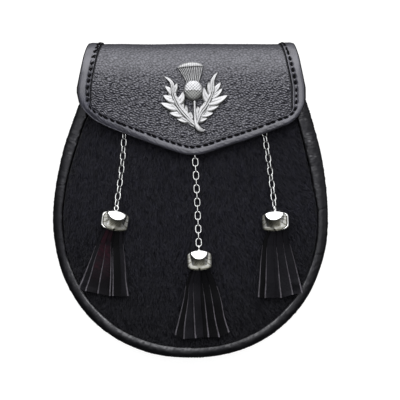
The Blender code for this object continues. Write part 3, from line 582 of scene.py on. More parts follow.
# the fur front: a domed hide with short hair
fur = dict(hairs=126000, pieces=3, length=(2.8, 5.6), width=0.26, height=(0.3, 1.4), clump=2.6, pull=0.3,
           turnSpread=0.26, bend=0.35, roll=1.1, edgeGap=0.6, seed=11,
           # shade from 0, black, to 1: its middle, spread and spread between clumps; how many hairs are pale
           # and how much paler; how much painted shade darkens it at the welt
           shade=0.24, shadeSpread=0.13, clumpSpread=0.22, paleShare=0.035, paler=0.42, darker=0.7)


def hairTurn(x, y):
    # the hair falls straight down on the left and sweeps toward the lower right on the right
    sweep = 0.62 * smoothStep(-15, 75, x) - 0.12 * smoothStep(-40, -85, x)
    crown = 0.25 * ripples(x, y, 46, 5) + 0.14 * ripples(x, y, 17, 6)
    return -math.pi / 2 + sweep + crown * 0.6


def makeHide():
    line = outlinePath(pouch["mouthY"], 170)[0]
    edge = inset(line, weltWidthAt(line) + 0.3)
    mouth = np.linspace(edge[-1], edge[0], 40)[1:-1]
    points, faces = discSheet(
        np.concatenate([edge, mouth]), np.array((0.0, pouch["widestY"])), np.linspace(1, 0.05, 18), panelZ,
        lambda x, y: panelZ(x, y) - pouch["panelThick"])
    newPiece("furHide", points, faces, [skinLook], "fur", ["front_panel"], sharpAngle=60)


def hairRoots(dice):
    # places all over the hide, and how far each is from the welt
    tries = fur["hairs"] * 2
    x = dice.uniform(-92, 92, tries)
    y = dice.uniform(-104, pouch["mouthY"] - 0.5, tries)
    away, width = fromOutline(x, y)
    inside = (np.abs(x - leanAt(y)) < halfWidth(y)) & (away > width + fur["edgeGap"])
    return (values[inside][:fur["hairs"]] for values in (x, y, away - width))


def growHair():
    dice = np.random.default_rng(fur["seed"])
    x, y, toWelt = hairRoots(dice)
    count = len(x)
    root = np.stack([x, y], -1)
    turn = hairTurn(x, y) + dice.normal(0, fur["turnSpread"], count)
    length = dice.uniform(*fur["length"], count) * np.clip(0.35 + toWelt / 9, 0.35, 1)
    direction = np.stack([np.cos(turn), np.sin(turn)], -1)
    # hairs of a clump lean toward one tip
    cellX, cellY = np.floor(x / fur["clump"]), np.floor(y / fur["clump"])
    clumpX = (cellX + cellValue(cellX, cellY, (12.99, 78.23, 4375.85))) * fur["clump"]
    clumpY = (cellY + cellValue(cellX, cellY, (39.35, 11.14, 2634.63))) * fur["clump"]
    tip = root + direction * length[:, None]
    clumpTip = np.stack([clumpX, clumpY], -1) + direction * length[:, None]
    tip += (clumpTip - tip) * fur["pull"] * dice.uniform(0.3, 1, count)[:, None]
    # each hair is a flat blade with a bend to one side and a roll of its own
    side = np.stack([-direction[:, 1], direction[:, 0]], -1)
    bend = dice.normal(0, fur["bend"], count)[:, None]
    height = dice.uniform(*fur["height"], count)
    roll = dice.uniform(-fur["roll"], fur["roll"], count)
    across = np.column_stack([side * np.cos(roll)[:, None], np.sin(roll) * 0.8])
    clumpShade = cellValue(cellX, cellY, (7.31, 23.7, 9573.1))
    shade = fur["shade"] + dice.normal(0, fur["shadeSpread"], count) + clumpShade * fur["clumpSpread"]
    shade = shade + 0.1 * ripples(x, y, 9, 8)
    shade[dice.random(count) > 1 - fur["paleShare"]] += fur["paler"]
    # painted shade: the hair is darker low down near the welt
    shade -= fur["darker"] * np.exp(-toWelt / 30) * smoothStep(0, -70, y)  # low down, in the welt's shade
    # level along the hair, share of its width, share of its height over the hide
    rows, tones = [], []
    for level, wide, rise in ((0.0, 0.85, 0.0), (0.55, 1.0, 1.0), (1.0, 0.0, 0.9)):
        middle = root + (tip - root) * level + side * bend * math.sin(math.pi * level)
        centre = np.column_stack([middle, panelZ(middle[:, 0], middle[:, 1]) + height * rise - 0.1])
        reach = across * (fur["width"] * wide) / 2
        rows += [centre - reach, centre + reach] if wide else [centre]
        # each hair is painted darker toward its root, as shade among the hairs
        tones += [shade * (0.45 + 0.55 * level)] * (2 if wide else 1)
    points, tones = np.stack(rows, 1), np.stack(tones, 1)
    for part in range(fur["pieces"]):
        chosen = slice(part, None, fur["pieces"])
        starts = np.arange(len(points[chosen]))[:, None] * points.shape[1]
        faces = [starts + (0, 1, 3, 2), starts + (2, 3, 4)]
        newPiece(f"furHair{part + 1}", points[chosen], faces, [hairLook], "fur", outward=False,
                 tone=tones[chosen])
    print("fur front:", count, "hairs")


makeHide()
growHair()


# the rolled welts round the front and the back, and the side wall between them
frontWelt = dict(z=30.0, height=9.0, sides=28, steps=900, power=2.3, crownIn=0.5, creaseDepth=0.42,
                 creaseBase=0.27, jointDepth=0.35)
backWelt = dict(width=5.0, height=4.4, setIn=1.0, topY=80.0, sides=18, steps=500, power=2.2)
gusset = dict(thick=1.4, fold=4.0, rows=15, steps=280)
sideStep = 1.9  # how far apart a welt's sides count as, round its section, for its creases
# where the strip of the front welt is joined: y, side
weltJoins = ((10.7, -1), (-5.2, 1), (-37.6, 1))


def roundSection(sides, power):
    turns = np.arange(sides) * fullTurn / sides
    out, up = np.cos(turns), np.sin(turns)
    return np.sign(out) * np.abs(out) ** (2 / power), np.sign(up) * np.abs(up) ** (2 / power)


def beadPoints(path, widths, centreZ, height, out, up, bulge):
    # a bead's surface along a path: out and up are its section, which bulges or sinks in creases
    reach = (widths[:, None] / 2 + bulge) * out
    places = path[:, None, :] + outwardOf(path)[:, None, :] * reach[..., None]
    z = centreZ[:, None] + (height / 2 + bulge) * up
    return np.concatenate([places, z[..., None]], -1)


def weltCreases(path, stations, u, t):
    # creases across the bead, deepest on its upper half, and a nick at each joint of the strip
    upper = smoothStep(-25, 45, path[:, 1])[:, None]
    amount = frontWelt["creaseBase"] + (frontWelt["creaseDepth"] - frontWelt["creaseBase"]) * upper
    across = ripples(u, t * 0.35, 4.6, 21) * 0.4 + ripples(u, t * 0.7, 2.4, 22) * 0.6
    pinch = np.maximum(across, -0.4) * (0.6 + 0.4 * ripples(u, t, 19, 23))
    bulge = amount * (pinch - 0.7) + 0.1 * ripples(u, t, 30, 24)
    for y, side in weltJoins:
        here = np.argmin(np.where(np.sign(path[:, 0]) == side, np.abs(path[:, 1] - y), 1e3))
        bulge = bulge - frontWelt["jointDepth"] * hill(u + 0.15 * (t - 9), stations[here], 0.5)
    return np.minimum(bulge, 0.05)


def weltHighlightAndWear(path, stations, u, t, out, up):
    # how much painted highlight and polish the front welt has; out and up are the places round its section
    onTop = up > 0.2
    foot = smoothStep(-80, -98, path[:, 1])[:, None]
    lowLeft = smoothStep(-25, -70, path[:, 1]) * (0.6 + 0.4 * smoothStep(60, -40, path[:, 0]))
    upperSide = (smoothStep(-10, 35, path[:, 1]) * np.where(path[:, 0] > 0, 1, 0.4))[:, None]
    # painted highlight in patches along the inner edge of its crown, most of all low on the left
    patches = np.clip(0.85 + 0.5 * ripples(stations, 0 * stations, 14, 25), 0, 1)
    patches = patches * np.clip(lowLeft + 0.08, 0, 1)
    innerEdge = hill(out, 0.18 * foot - 0.78, 0.13 + 0.22 * foot) * (up > 0.1) * (1 - 0.5 * foot)
    worn = patches[:, None] * innerEdge * np.clip(0.75 + 0.45 * ripples(u, t, 3.5, 26), 0, 1)
    # broad painted sheen over folds, low on the left
    folds = np.clip(ripples(u * 0.6 + t * 1.2, t * 0.4, 6, 27), 0, 1) * hill(out, -0.2, 0.4) * onTop
    worn = np.clip(1.1 * worn + 0.16 * lowLeft[:, None] * folds, 0, 1)
    # painted highlights on the crests of fine wrinkles on the upper sides, most of all on the right
    wrinkles = np.clip(1.4 * ripples(u + 0.2 * t, t * 0.25, 1.7, 29) - 0.15, 0, 1) * onTop
    wrinkles = wrinkles * hill(out, -0.3, 0.45) * np.clip(0.5 + ripples(u, t, 9, 30), 0, 1)
    worn = np.clip(worn + 0.6 * upperSide * wrinkles, 0, 1)
    # dullest halfway down the left side
    polish = 0.13 * (1 - hill(path[:, 1], -18, 34) * (path[:, 0] < 0))
    uneven = (1 + 0.3 * ripples(u, t, 8, 28)) * (
        1 + upperSide * (0.6 * ripples(u + 0.2 * t, t * 0.5, 2.6, 31) - 0.35))
    return worn, polish[:, None] * uneven


def makeFrontWelt():
    path, stations = outlinePath(pouch["mouthY"], frontWelt["steps"])
    widths = weltWidthAt(path)
    out, up = roundSection(frontWelt["sides"], frontWelt["power"])
    # the crown lies near the inner edge, so the outer side is one long slope
    out = out - frontWelt["crownIn"] * np.maximum(up, 0) * (1 - out ** 2)
    u, t = np.meshgrid(stations, np.arange(frontWelt["sides"]) * sideStep, indexing="ij")
    points = beadPoints(inset(path, widths / 2), widths, np.full(len(path), frontWelt["z"]),
                        frontWelt["height"], out, up, weltCreases(path, stations, u, t))
    worn, polish = weltHighlightAndWear(path, stations, u, t, out, up)
    newPiece("frontWelt", *lofted(points), [paintedHighlightWelt], "smooth_leather", ["front_rim"], sharpAngle=70,
             worn=worn, polish=polish)


def makeBackWelt():
    path, stations = outlinePath(backWelt["topY"], backWelt["steps"])
    middle = inset(path, backWelt["setIn"] + backWelt["width"] / 2)
    out, up = roundSection(backWelt["sides"], backWelt["power"])
    u, t = np.meshgrid(stations, np.arange(backWelt["sides"]) * sideStep, indexing="ij")
    points = beadPoints(middle, np.full(len(middle), backWelt["width"]),
                        backZ(middle[:, 1]) + pouch["backThick"] / 2, backWelt["height"], out, up,
                        0.07 * ripples(u, t, 5, 31) - 0.07)
    newPiece("backWelt", *lofted(points), [weltLeather], "smooth_leather", ["back_rim"], sharpAngle=70)


def makeGusset():
    path, stations = outlinePath(pouch["mouthY"], gusset["steps"])
    topIn = weltWidthAt(path) / 2
    footIn = backWelt["setIn"] + backWelt["width"] / 2
    topZ = frontWelt["z"] - frontWelt["height"] / 2 - seamGap
    footZ = backZ(inset(path, footIn)[:, 1]) + (backWelt["height"] + pouch["backThick"]) / 2 + seamGap
    normals = outwardOf(path)
    sides = []
    for depth in (-gusset["thick"] / 2, gusset["thick"] / 2):
        rows = []
        for share in np.linspace(0, 1, gusset["rows"]):
            fold = gusset["fold"] * (1 - abs(2 * share - 1)) ** 0.9
            wrinkle = 0.35 * math.sin(math.pi * share) * ripples(stations, share * 14, 7, 41)
            distance = topIn * (1 - share) + footIn * share + depth + fold + wrinkle
            z = topZ * (1 - share) + footZ * share
            rows.append(np.column_stack([path - normals * distance[:, None], z]))
        sides.append(np.stack(rows))
    newPiece("gussetLeather", *backedSheet(*sides), [bodyLeather], "smooth_leather", ["gusset"],
             sharpAngle=60)


makeFrontWelt()
makeBackWelt()
makeGusset()
print("welts and gusset made")


# the back and its two strap loops
back = dict(topY=99.0, stitchIn=3.4)
backThread = dict(pitch=4.0, length=3.0, thick=0.6, slant=6.0, bow=0.25)
loops = dict(x=38.0, width=22.0, thick=1.8, clear=(43.0, 73.0), slope=4.0, foot=8.0, soften=1.3, stitchIn=2.0,
             rowPitch=2.9, endPitch=1.9)


def makeBack():
    distance = backWelt["setIn"] + backWelt["width"] + seamGap
    edge = inset(outlinePath(back["topY"], 200)[0], distance)
    top = np.linspace(edge[-1], edge[0], 46)[1:-1]
    ring = np.concatenate([edge, top])
    shares = np.array((1.0, 0.993, 0.985, *np.linspace(0.96, 0.04, 16)))

    def innerZ(x, y):
        return backZ(y) + pouch["backThick"]

    def outerZ(x, y):
        return backZ(y) + 0.08 * (1 + ripples(x, y, 33, 51))

    points, faces = discSheet(ring, np.array((0.0, 0.0)), shares, innerZ, outerZ)
    count = len(points) // 2
    points[count:count + len(ring), 2] += 0.45  # the outer face's edge is rounded off
    newPiece("backPanel", points, faces, [bodyLeather], "smooth_leather", ["back_panel"], sharpAngle=60)

    line = inset(outlinePath(backWelt["topY"], 700)[0], distance + back["stitchIn"])
    path = np.column_stack([line, backZ(line[:, 1]) + 0.02])
    normals = np.tile((0.0, 0.0, -1.0), (len(path), 1))
    stitches = stitchesAlong(path, normals, **backThread)[0]
    newPiece("backStitches", *stitches, [threadLook], "smooth_leather")


def loopHeights():
    # y and z of a loop's inner face: it leaves the back, runs clear of it and comes back to it
    near, far = loops["clear"]
    slope = loops["slope"] / 2
    keyY = np.array((near - loops["foot"], near - slope, near + slope, far - slope, far + slope,
                     far + loops["foot"]))
    keyZ = np.array((*(backZ(keyY[:2]) - seamGap), loops["thick"], loops["thick"],
                     *(backZ(keyY[4:]) - seamGap)))
    y = np.linspace(keyY[0], keyY[-1], 90)
    shifts = np.linspace(-loops["soften"], loops["soften"], 9)
    soft = sum(np.interp(np.clip(y + shift, keyY[0], keyY[-1]), keyY, keyZ) for shift in shifts) / 9
    bent = (y > keyY[1] - 2) & (y < keyY[4] + 2)
    z = np.where(bent, soft, np.interp(y, keyY, keyZ))
    return keyY, y, np.maximum(z, loops["thick"])


def makeLoops():
    keyY, y, z = loopHeights()
    half, thick = loops["width"] / 2, loops["thick"]
    across = half * np.sin(np.linspace(-math.pi / 2, math.pi / 2, 25))
    rounded = 0.35 * np.clip(np.abs(across) - half + 1.0, 0, 1) ** 2
    sides = []
    for offset, sign in ((0.0, -1), (-thick, 1)):
        x, along = np.meshgrid(across, y)
        sides.append(np.stack([x, along, z[:, None] + offset + sign * rounded], -1))
    points, faces = backedSheet(*sides)
    # a box of stitches at each foot of the loop
    edge = half - loops["stitchIn"]
    rows = []
    for low, high in ((keyY[0] + 1.6, keyY[1] - 1.0), (keyY[4] + 1.0, keyY[5] - 1.6)):
        corners = ((-edge, low), (edge, low), (edge, high), (-edge, high), (-edge, low))
        for start, end in zip(corners, corners[1:]):
            line = np.linspace(start, end, 20)
            path = np.column_stack([line, np.interp(line[:, 1], y, z) - thick - 0.02])
            normals = np.tile((0.0, 0.0, -1.0), (20, 1))
            pitch = loops["rowPitch"] if start[1] == end[1] else loops["endPitch"]
            rows.append(stitchesAlong(path, normals, pitch, pitch * 0.75, 0.55, 4.0, 0.2, start=0.2)[0])
    stitches = joined(rows)
    for side, name in ((-1, "Left"), (1, "Right")):
        shift = np.array((side * loops["x"], 0, 0))
        newPiece(f"strapLoop{name}", points + shift, faces, [bodyLeather], "smooth_leather",
                 [f"strap_loop_{name.lower()}"], sharpAngle=60)
        newPiece(f"strapLoopStitches{name}", stitches[0] + shift, stitches[1], [threadLook], "smooth_leather")


makeBack()
makeLoops()
print("back and strap loops made")


# the flap is laid out flat as x and s, where s is y on the front and then follows the fold to the back
flap = dict(
    underZ=40.0, thick=2.0, half=78.4, centreX=0.5, corner=13.0, tipY=31.7,
    # how far the low edge rises at this reach from its tip, and the power of its curve
    reach=74.0, riseLeft=(27.7, 1.2), riseRight=(23.6, 1.3), edgeSlant=1.07,
    # how the low edge wanders from an even curve: x, y
    edgeWander=((-78, 0.2), (-70, 0.0), (-64, -0.9), (-56, -1.3), (-46, -1.0), (-30, -0.7), (-18, -0.8),
                (-6, -0.8), (0, -0.6), (8, -0.9), (15, -0.5), (21, 0.2), (78, 0.2)),
    foldStartY=86.0, foldTopY=106.4, foldBackY=96.0, foldPower=2.2, legEndY=84.0, droop=1.5, flatHalf=28.0,
    sideStartS=78.0,
    # half widths from the start of the fold, 0, to the end on the back, 1
    foldWidths=((0.0, 77.1), (0.2, 74.3), (0.36, 71.4), (0.46, 69.8), (0.8, 66.6), (1.0, 66.0)),
    # the hide's pebbles: their height, how many times wider they are, and how deep their creases are on
    # the fold and on the front
    pebblePitch=1.45, pebbleStretch=1.75, foldDepth=0.34, frontDepth=1.08,
    # columns, and rows below the fold, on its shown side and on its hidden side
    grainGrid=(393, 105, 70, 34), grainSetIn=0.25, liningGrid=(101, 33, 14, 14), liningThick=0.7,
    # the row of stitches on the back: half its length, and how far in from the leather's end
    legRowHalf=62.0, legRowIn=3.2,
)
border = dict(
    base=2.3, width=9.0, stitchIn=7.2, rightStitchIn=5.9, lowShare=0.75, pocketDepth=1.1,
    # its section: distance in from the edge, height
    section=((0.0, 0.0), (0.15, 0.35), (0.4, 0.62), (0.7, 0.85), (1.1, 1.08), (1.6, 1.28), (2.1, 1.4),
             (2.7, 1.46), (3.4, 1.5), (4.2, 1.52), (5.0, 1.5), (5.5, 1.45), (5.85, 1.38), (6.15, 1.28),
             (6.45, 1.15), (6.75, 0.98), (7.05, 0.85), (7.35, 0.85), (7.65, 0.98), (7.95, 1.15), (8.2, 1.24),
             (8.45, 1.28), (8.65, 1.22), (8.8, 1.05), (8.92, 0.7), (9.0, 0.2)),
)
borderThread = dict(pitch=4.5, length=4.0, thick=1.65, bow=0.25)
legThread = dict(pitch=4.0, length=3.0, thick=0.7, slant=6.0, bow=0.25)


def flapProfile():
    # y and z of the leather's inner face: flat on the front, over the fold and down the back
    legZ = backZ(flap["foldBackY"]) - seamGap
    middleZ = (flap["underZ"] + legZ) / 2
    quarter = np.linspace(0, math.pi / 2, 160)
    power = 2 / flap["foldPower"]
    front = np.stack([
        flap["foldStartY"] + (flap["foldTopY"] - flap["foldStartY"]) * np.sin(quarter) ** power,
        middleZ + (flap["underZ"] - middleZ) * np.maximum(np.cos(quarter), 0) ** power], -1)
    rear = np.stack([
        flap["foldBackY"] + (flap["foldTopY"] - flap["foldBackY"]) * np.cos(quarter[1:]),
        middleZ - (middleZ - legZ) * np.sin(quarter[1:])], -1)
    ends = (flap["tipY"], flap["underZ"]), (flap["legEndY"], backZ(flap["legEndY"]) - seamGap)
    return np.array([ends[0], *front, *rear, ends[1]])


profile = flapProfile()
profileS = flap["tipY"] + lengthsAlong(profile)
flapEndS = profileS[-1]


def flapPoint(x, s, lift):
    # the place of flat x and s on the folded flap, lifted off its inner face
    x, s, lift = np.broadcast_arrays(np.asarray(x, float), s, lift)
    here, before, after = (
        np.stack([np.interp(at, profileS, profile[:, axis]) for axis in (0, 1)], -1)
        for at in (s, s - 0.35, s + 0.35))
    along = unit(after - before)
    normal = np.stack([-along[..., 1], along[..., 0]], -1)
    place = here + normal * lift[..., None]
    past = np.maximum(np.abs(x) - flap["flatHalf"], 0) / (flap["half"] - flap["flatHalf"])
    z = place[..., 1] - flap["droop"] * past ** 2 * np.maximum(normal[..., 1], 0)
    return np.stack([x + flap["centreX"], place[..., 0], z], -1)


def flapHalf(s):
    share = (s - flap["foldStartY"]) / (flapEndS - flap["foldStartY"])
    table = np.array(flap["foldWidths"])
    sides = np.interp(s, (flap["sideStartS"], flap["foldStartY"]), (flap["half"], table[0, 1]))
    return np.where(share <= 0, sides, np.interp(share, table[:, 0], table[:, 1]))


def edgeRise(x):
    left, right = (rise * (np.abs(x) / flap["reach"]) ** power
                   for rise, power in (flap["riseLeft"], flap["riseRight"]))
    wander = np.array(flap["edgeWander"])
    return np.where(x < 0, left, right) + np.interp(x, wander[:, 0], wander[:, 1])


def lowerEdge(x, setIn=0.0):
    corner = np.maximum(flap["corner"] - setIn, 1.0)
    past = np.maximum(np.abs(x) - (flap["half"] - setIn - corner), 0)
    edge = flap["tipY"] + edgeRise(x) + setIn * flap["edgeSlant"]
    return edge + corner - np.sqrt(np.maximum(corner ** 2 - past ** 2, 0))


def flapGrid(columns, lowRows, shownRows, hiddenRows, setIn):
    # a grid of x and s over the whole flap, drawn in by setIn; its front has the closest rows
    across = np.linspace(-1, 1, columns)
    x = across * (flap["half"] - setIn)
    low = lowerEdge(x, setIn)
    share = np.linspace(0, 1, lowRows)[:, None]
    lowerS = low + (flap["sideStartS"] - low) * share
    shownEnd = flap["foldStartY"] + 26
    foldS = np.concatenate([np.linspace(flap["sideStartS"], shownEnd, shownRows + 1)[1:],
                            np.linspace(shownEnd, flapEndS - setIn, hiddenRows + 1)[1:]])[:, None]
    upperX = across * (flapHalf(foldS) - setIn)
    return (np.concatenate([np.tile(x, (lowRows, 1)), upperX]),
            np.concatenate([lowerS, np.tile(foldS, (1, columns))]))


def sag(x, s):
    # hand-worked leather is never quite flat
    return 0.16 * ripples(x, s, 38, 61)


def domed(gap):
    return 0.4 * smoothStep(0.0, 0.3, gap) + 0.6 * smoothStep(0.0, 1.0, gap)


def makeGrain():
    x, s = flapGrid(*flap["grainGrid"], flap["grainSetIn"])
    warpX = x + 0.5 * ripples(x, s, 9, 62) - 0.2 * s
    warpS = s + 0.5 * ripples(x, s, 7, 63) + 0.25 * x
    height = domed(pebbles(warpX, warpS, flap["pebblePitch"], flap["pebbleStretch"], 3.3))
    # pulled nearly flat where the hide stretches over the fold
    share = smoothStep(72, 100, s + 2 * ripples(x, s, 12, 64))
    depth = flap["foldDepth"] * share + flap["frontDepth"] * (1 - share) * (1 + 0.25 * ripples(x, s, 5, 65))
    lift = flap["thick"] + 0.02 - depth * (1 - height) + sag(x, s)
    # flat and thin where the border covers it, and pressed down beside its inner edge
    toSide = flapHalf(s) - np.abs(x)
    toLow = (s - lowerEdge(x)) / flap["edgeSlant"] + 2.8
    covered = 1 - smoothStep(9.3, 10.3, np.minimum(toSide, toLow))
    lift = lift * (1 - covered) + (flap["thick"] - 0.5 + sag(x, s)) * covered
    # beside the border the colour is the creases' darkest, as painted shade
    height = (height * (1 - 0.5 * share) + 0.24 * share) * (1 - covered)
    front = flapPoint(x, s, lift)
    rear = flapPoint(x[::4, ::4], s[::4, ::4], flap["liningThick"] + 0.05 + sag(x, s)[::4, ::4])
    points, faces = backedSheet(front, rear, step=4)
    pebble = np.concatenate([height.ravel(), np.zeros(rear.shape[0] * rear.shape[1])])
    newPiece("flapGrain", points, faces, [pebbleLeather], "grained_leather", ["flap"], outward=False,
             sharpAngle=80, pebble=pebble)


def makeLining():
    x, s = flapGrid(*flap["liningGrid"], 0.0)
    # it stands a little proud of the leather at the sides, where the flap turns over
    proud = 0.45 * smoothStep(60, 76, np.abs(x)) * (1 - smoothStep(74, 88, s))
    x = x + np.sign(x) * proud * (np.abs(x) > flap["half"] - 4)
    front = flapPoint(x, s, flap["liningThick"] + sag(x, s))
    rear = flapPoint(x, s, sag(x, s) * 0.5)
    newPiece("flapLining", *backedSheet(front, rear), [liningLook], "smooth_leather", ["flap"], outward=False,
             sharpAngle=80)


def aboveLowEdge(x, s):
    return s[:, :1] - flap["tipY"] - edgeRise(x[:, :1])


def borderGrid(setIns):
    # lines this far in from the flap's edge, from its left end on the back round to its right end
    w = np.array((0.0, *setIns))[None, :]
    corner = flap["corner"] - w
    centreX = flap["half"] - flap["corner"]
    foldS = np.linspace(flapEndS, flap["sideStartS"], 90)[:, None]
    theta = np.linspace(math.pi / 2, 0, 26)[:, None]
    arcX = centreX + corner * np.sin(theta)
    lowX = np.linspace(-centreX, centreX, 200)[1:-1, None] + 0 * w

    def edgeS(x, extra):
        return flap["tipY"] + edgeRise(x) + w * flap["edgeSlant"] + extra

    sides = []
    for side in (-1, 1):
        arcS = edgeS(side * arcX, corner * (1 - np.cos(theta)))
        joinS = flap["sideStartS"] + (arcS[:1] - flap["sideStartS"]) * np.linspace(0, 1, 6)[1:-1, None]
        joinX = 0 * joinS + side * (flap["half"] - w)
        sides.append((np.concatenate([side * (flapHalf(foldS) - w), joinX, side * arcX]),
                      np.concatenate([foldS + 0 * w, joinS, arcS])))
    (leftX, leftS), (rightX, rightS) = sides
    x = np.concatenate([leftX, lowX, rightX[::-1]])
    s = np.concatenate([leftS, edgeS(lowX, 0.0), rightS[::-1]])
    # the strip is narrower along the low edge
    share = 1 - (1 - border["lowShare"]) * (1 - smoothStep(0, 12, aboveLowEdge(x, s)))
    return tuple(block[:, :1] + (block[:, 1:] - block[:, :1]) * share for block in (x, s))


def stitchLine():
    # the row of stitches round the border, which stands nearer the edge on the right side
    lineX, lineS = borderGrid([border["stitchIn"], border["rightStitchIn"]])
    share = smoothStep(60, 76, lineX[:, 0])
    x, s = (line[:, 0] * (1 - share) + line[:, 1] * share for line in (lineX, lineS))
    stitchIn = border["stitchIn"] + (border["rightStitchIn"] - border["stitchIn"]) * share
    surface = flapPoint(x, s, border["base"] + 0.5 + sag(x, s))
    # the thread crosses the line on the left, and runs nearly along it on the right
    slant = np.interp(x, (-70, -58, 60, 70), (-46, -18, -16, 2))
    stretch = np.interp(x, (-72, -58, 58, 72), (0.8, 1.0, 1.0, 0.85))
    normals = unit(surface - flapPoint(x, s, sag(x, s)))
    return surface, normals, slant, stretch, stitchIn


def sewBorder(surface, normals, slant, stretch):
    shape, at, places, frames = stitchesAlong(surface, normals, **borderThread, slant=slant, stretch=stretch,
                                              seed=5)
    dice = np.random.default_rng(17)
    left = np.flatnonzero(places[:, 0] < -62)
    tails = []
    for _ in range(2):  # frayed ends on the left
        spin = np.array([turnAbout("Z", turn) for turn in dice.normal(-35, 22, len(left))])
        tailFrames = np.einsum("kij,kjl->kil", spin, frames[left])
        ends = places[left] + tailFrames[:, 0] * dice.uniform(1.2, 2.1, (len(left), 1))
        tails.append(copies(*stitchShape(2.6, 0.9, 0.1), ends, tailFrames))
    newPiece("borderStitches", *joined([shape, *tails]), [threadLook], "smooth_leather")
    return at


def borderLift(x, s, lengths, at, stretch, stitchIn):
    # the strip's height over the flap, how much of its finish is left, and its share of the low edge
    widths, heights = np.array(border["section"]).T
    low = 1 - smoothStep(2, 11, aboveLowEdge(x, s))
    leftward = smoothStep(-15, -50, x)
    crumpled = hill(x, -67, 16) * smoothStep(84, 66, s)
    leaning = lengths + widths * 0.9
    slanted = ripples(leaning, widths * 0.6, 2.9, 72)
    mottled = ripples(leaning, widths, 1.9, 73)
    # the section's groove follows the stitches
    outer = widths * border["stitchIn"] / stitchIn
    fromInner = (border["width"] - widths) * (border["width"] - border["stitchIn"])
    inner = border["width"] - fromInner / (border["width"] - stitchIn)
    lift = np.interp(np.where(widths < stitchIn, outer, inner), widths, heights)
    # the strip is stretched thin over the fold
    lift = lift * (1 - 0.6 * smoothStep(88, 104, s))
    # each stitch is pulled down into a pocket of its own
    along = lengths + 0.5 * low * (widths - stitchIn)
    nearby = np.clip(np.searchsorted(at, along), 1, len(at) - 1)
    gap = np.minimum(np.abs(along - at[nearby - 1]), np.abs(along - at[nearby]))
    pocket = np.exp(-(gap / (1.7 * stretch)) ** 4) * np.exp(-((widths - stitchIn) / 1.25) ** 4)
    lift = lift - border["pocketDepth"] * pocket + 0.04 * ripples(lengths, widths * 2, 6, 71)
    # along the low edge the strip leans outward and is finely crumpled, most of all on the left
    lean = (0.05 + 0.1 * leftward) * np.maximum(5.5 - widths, 0)
    lift = lift - low * (lean + (0.09 + 0.05 * leftward) * np.maximum(slanted, -0.8))
    lift = lift - crumpled * (0.05 * np.maximum(7 - widths, 0) + 0.12 * np.maximum(slanted, -0.6))
    # the finish is rubbed off the left corner, and uneven along the low edge
    rubbed = crumpled * (0.85 + 0.2 * slanted + 0.25 * mottled)
    uneven = low * (0.08 + 0.12 * mottled + leftward * (0.25 + 0.2 * mottled))
    return np.maximum(lift, 0.2), np.clip(1 - rubbed - uneven, 0, 1), low


def makeBorder():
    surface, normals, slant, stretch, stitchIn = stitchLine()
    at = sewBorder(surface, normals, slant, stretch)
    widths = np.array(border["section"])[:, 0]
    x, s = borderGrid(widths)
    lengths = lengthsAlong(surface)[:, None]
    lift, finish, low = borderLift(x, s, lengths, at, stretch[:, None], stitchIn[:, None])
    front = flapPoint(x, s, border["base"] + lift + sag(x, s))
    rear = flapPoint(x, s, flap["thick"] - seamGap + sag(x, s))
    points, faces = backedSheet(front, rear)
    # the cut edges are painted black, widest on the sides
    painted = np.zeros((len(x) - 1, len(widths) - 1), int)
    painted[:, widths[1:] < 0.5] = 1
    # on the sides the black inner edge is also painted shade beside the grain
    painted[np.ix_(low[1:, 0] < 0.5, (widths[1:] < 0.9) | (widths[1:] > 8.7))] = 1
    lookOf = np.concatenate([painted.ravel(), np.ones(sum(len(block) for block in faces[1:]), int)])
    newPiece("flapBorder", points, faces, [borderLeather, edgePaint], "smooth_leather", ["flap_border"],
             lookOf=lookOf, outward=False, sharpAngle=75, finish=np.tile(finish.ravel(), 2))


def sewLeg():
    # the row that holds the flap to the back
    x = np.linspace(-flap["legRowHalf"], flap["legRowHalf"], 120)
    s = np.full(len(x), flapEndS - flap["legRowIn"])
    path = flapPoint(x, s, flap["thick"] + 0.02)
    normals = unit(path - flapPoint(x, s, 0.0))
    newPiece("flapLegStitches", *stitchesAlong(path, normals, **legThread)[0], [threadLook], "smooth_leather")


makeGrain()
makeLining()
makeBorder()
sewLeg()
print("flap, lining and stitched border made")


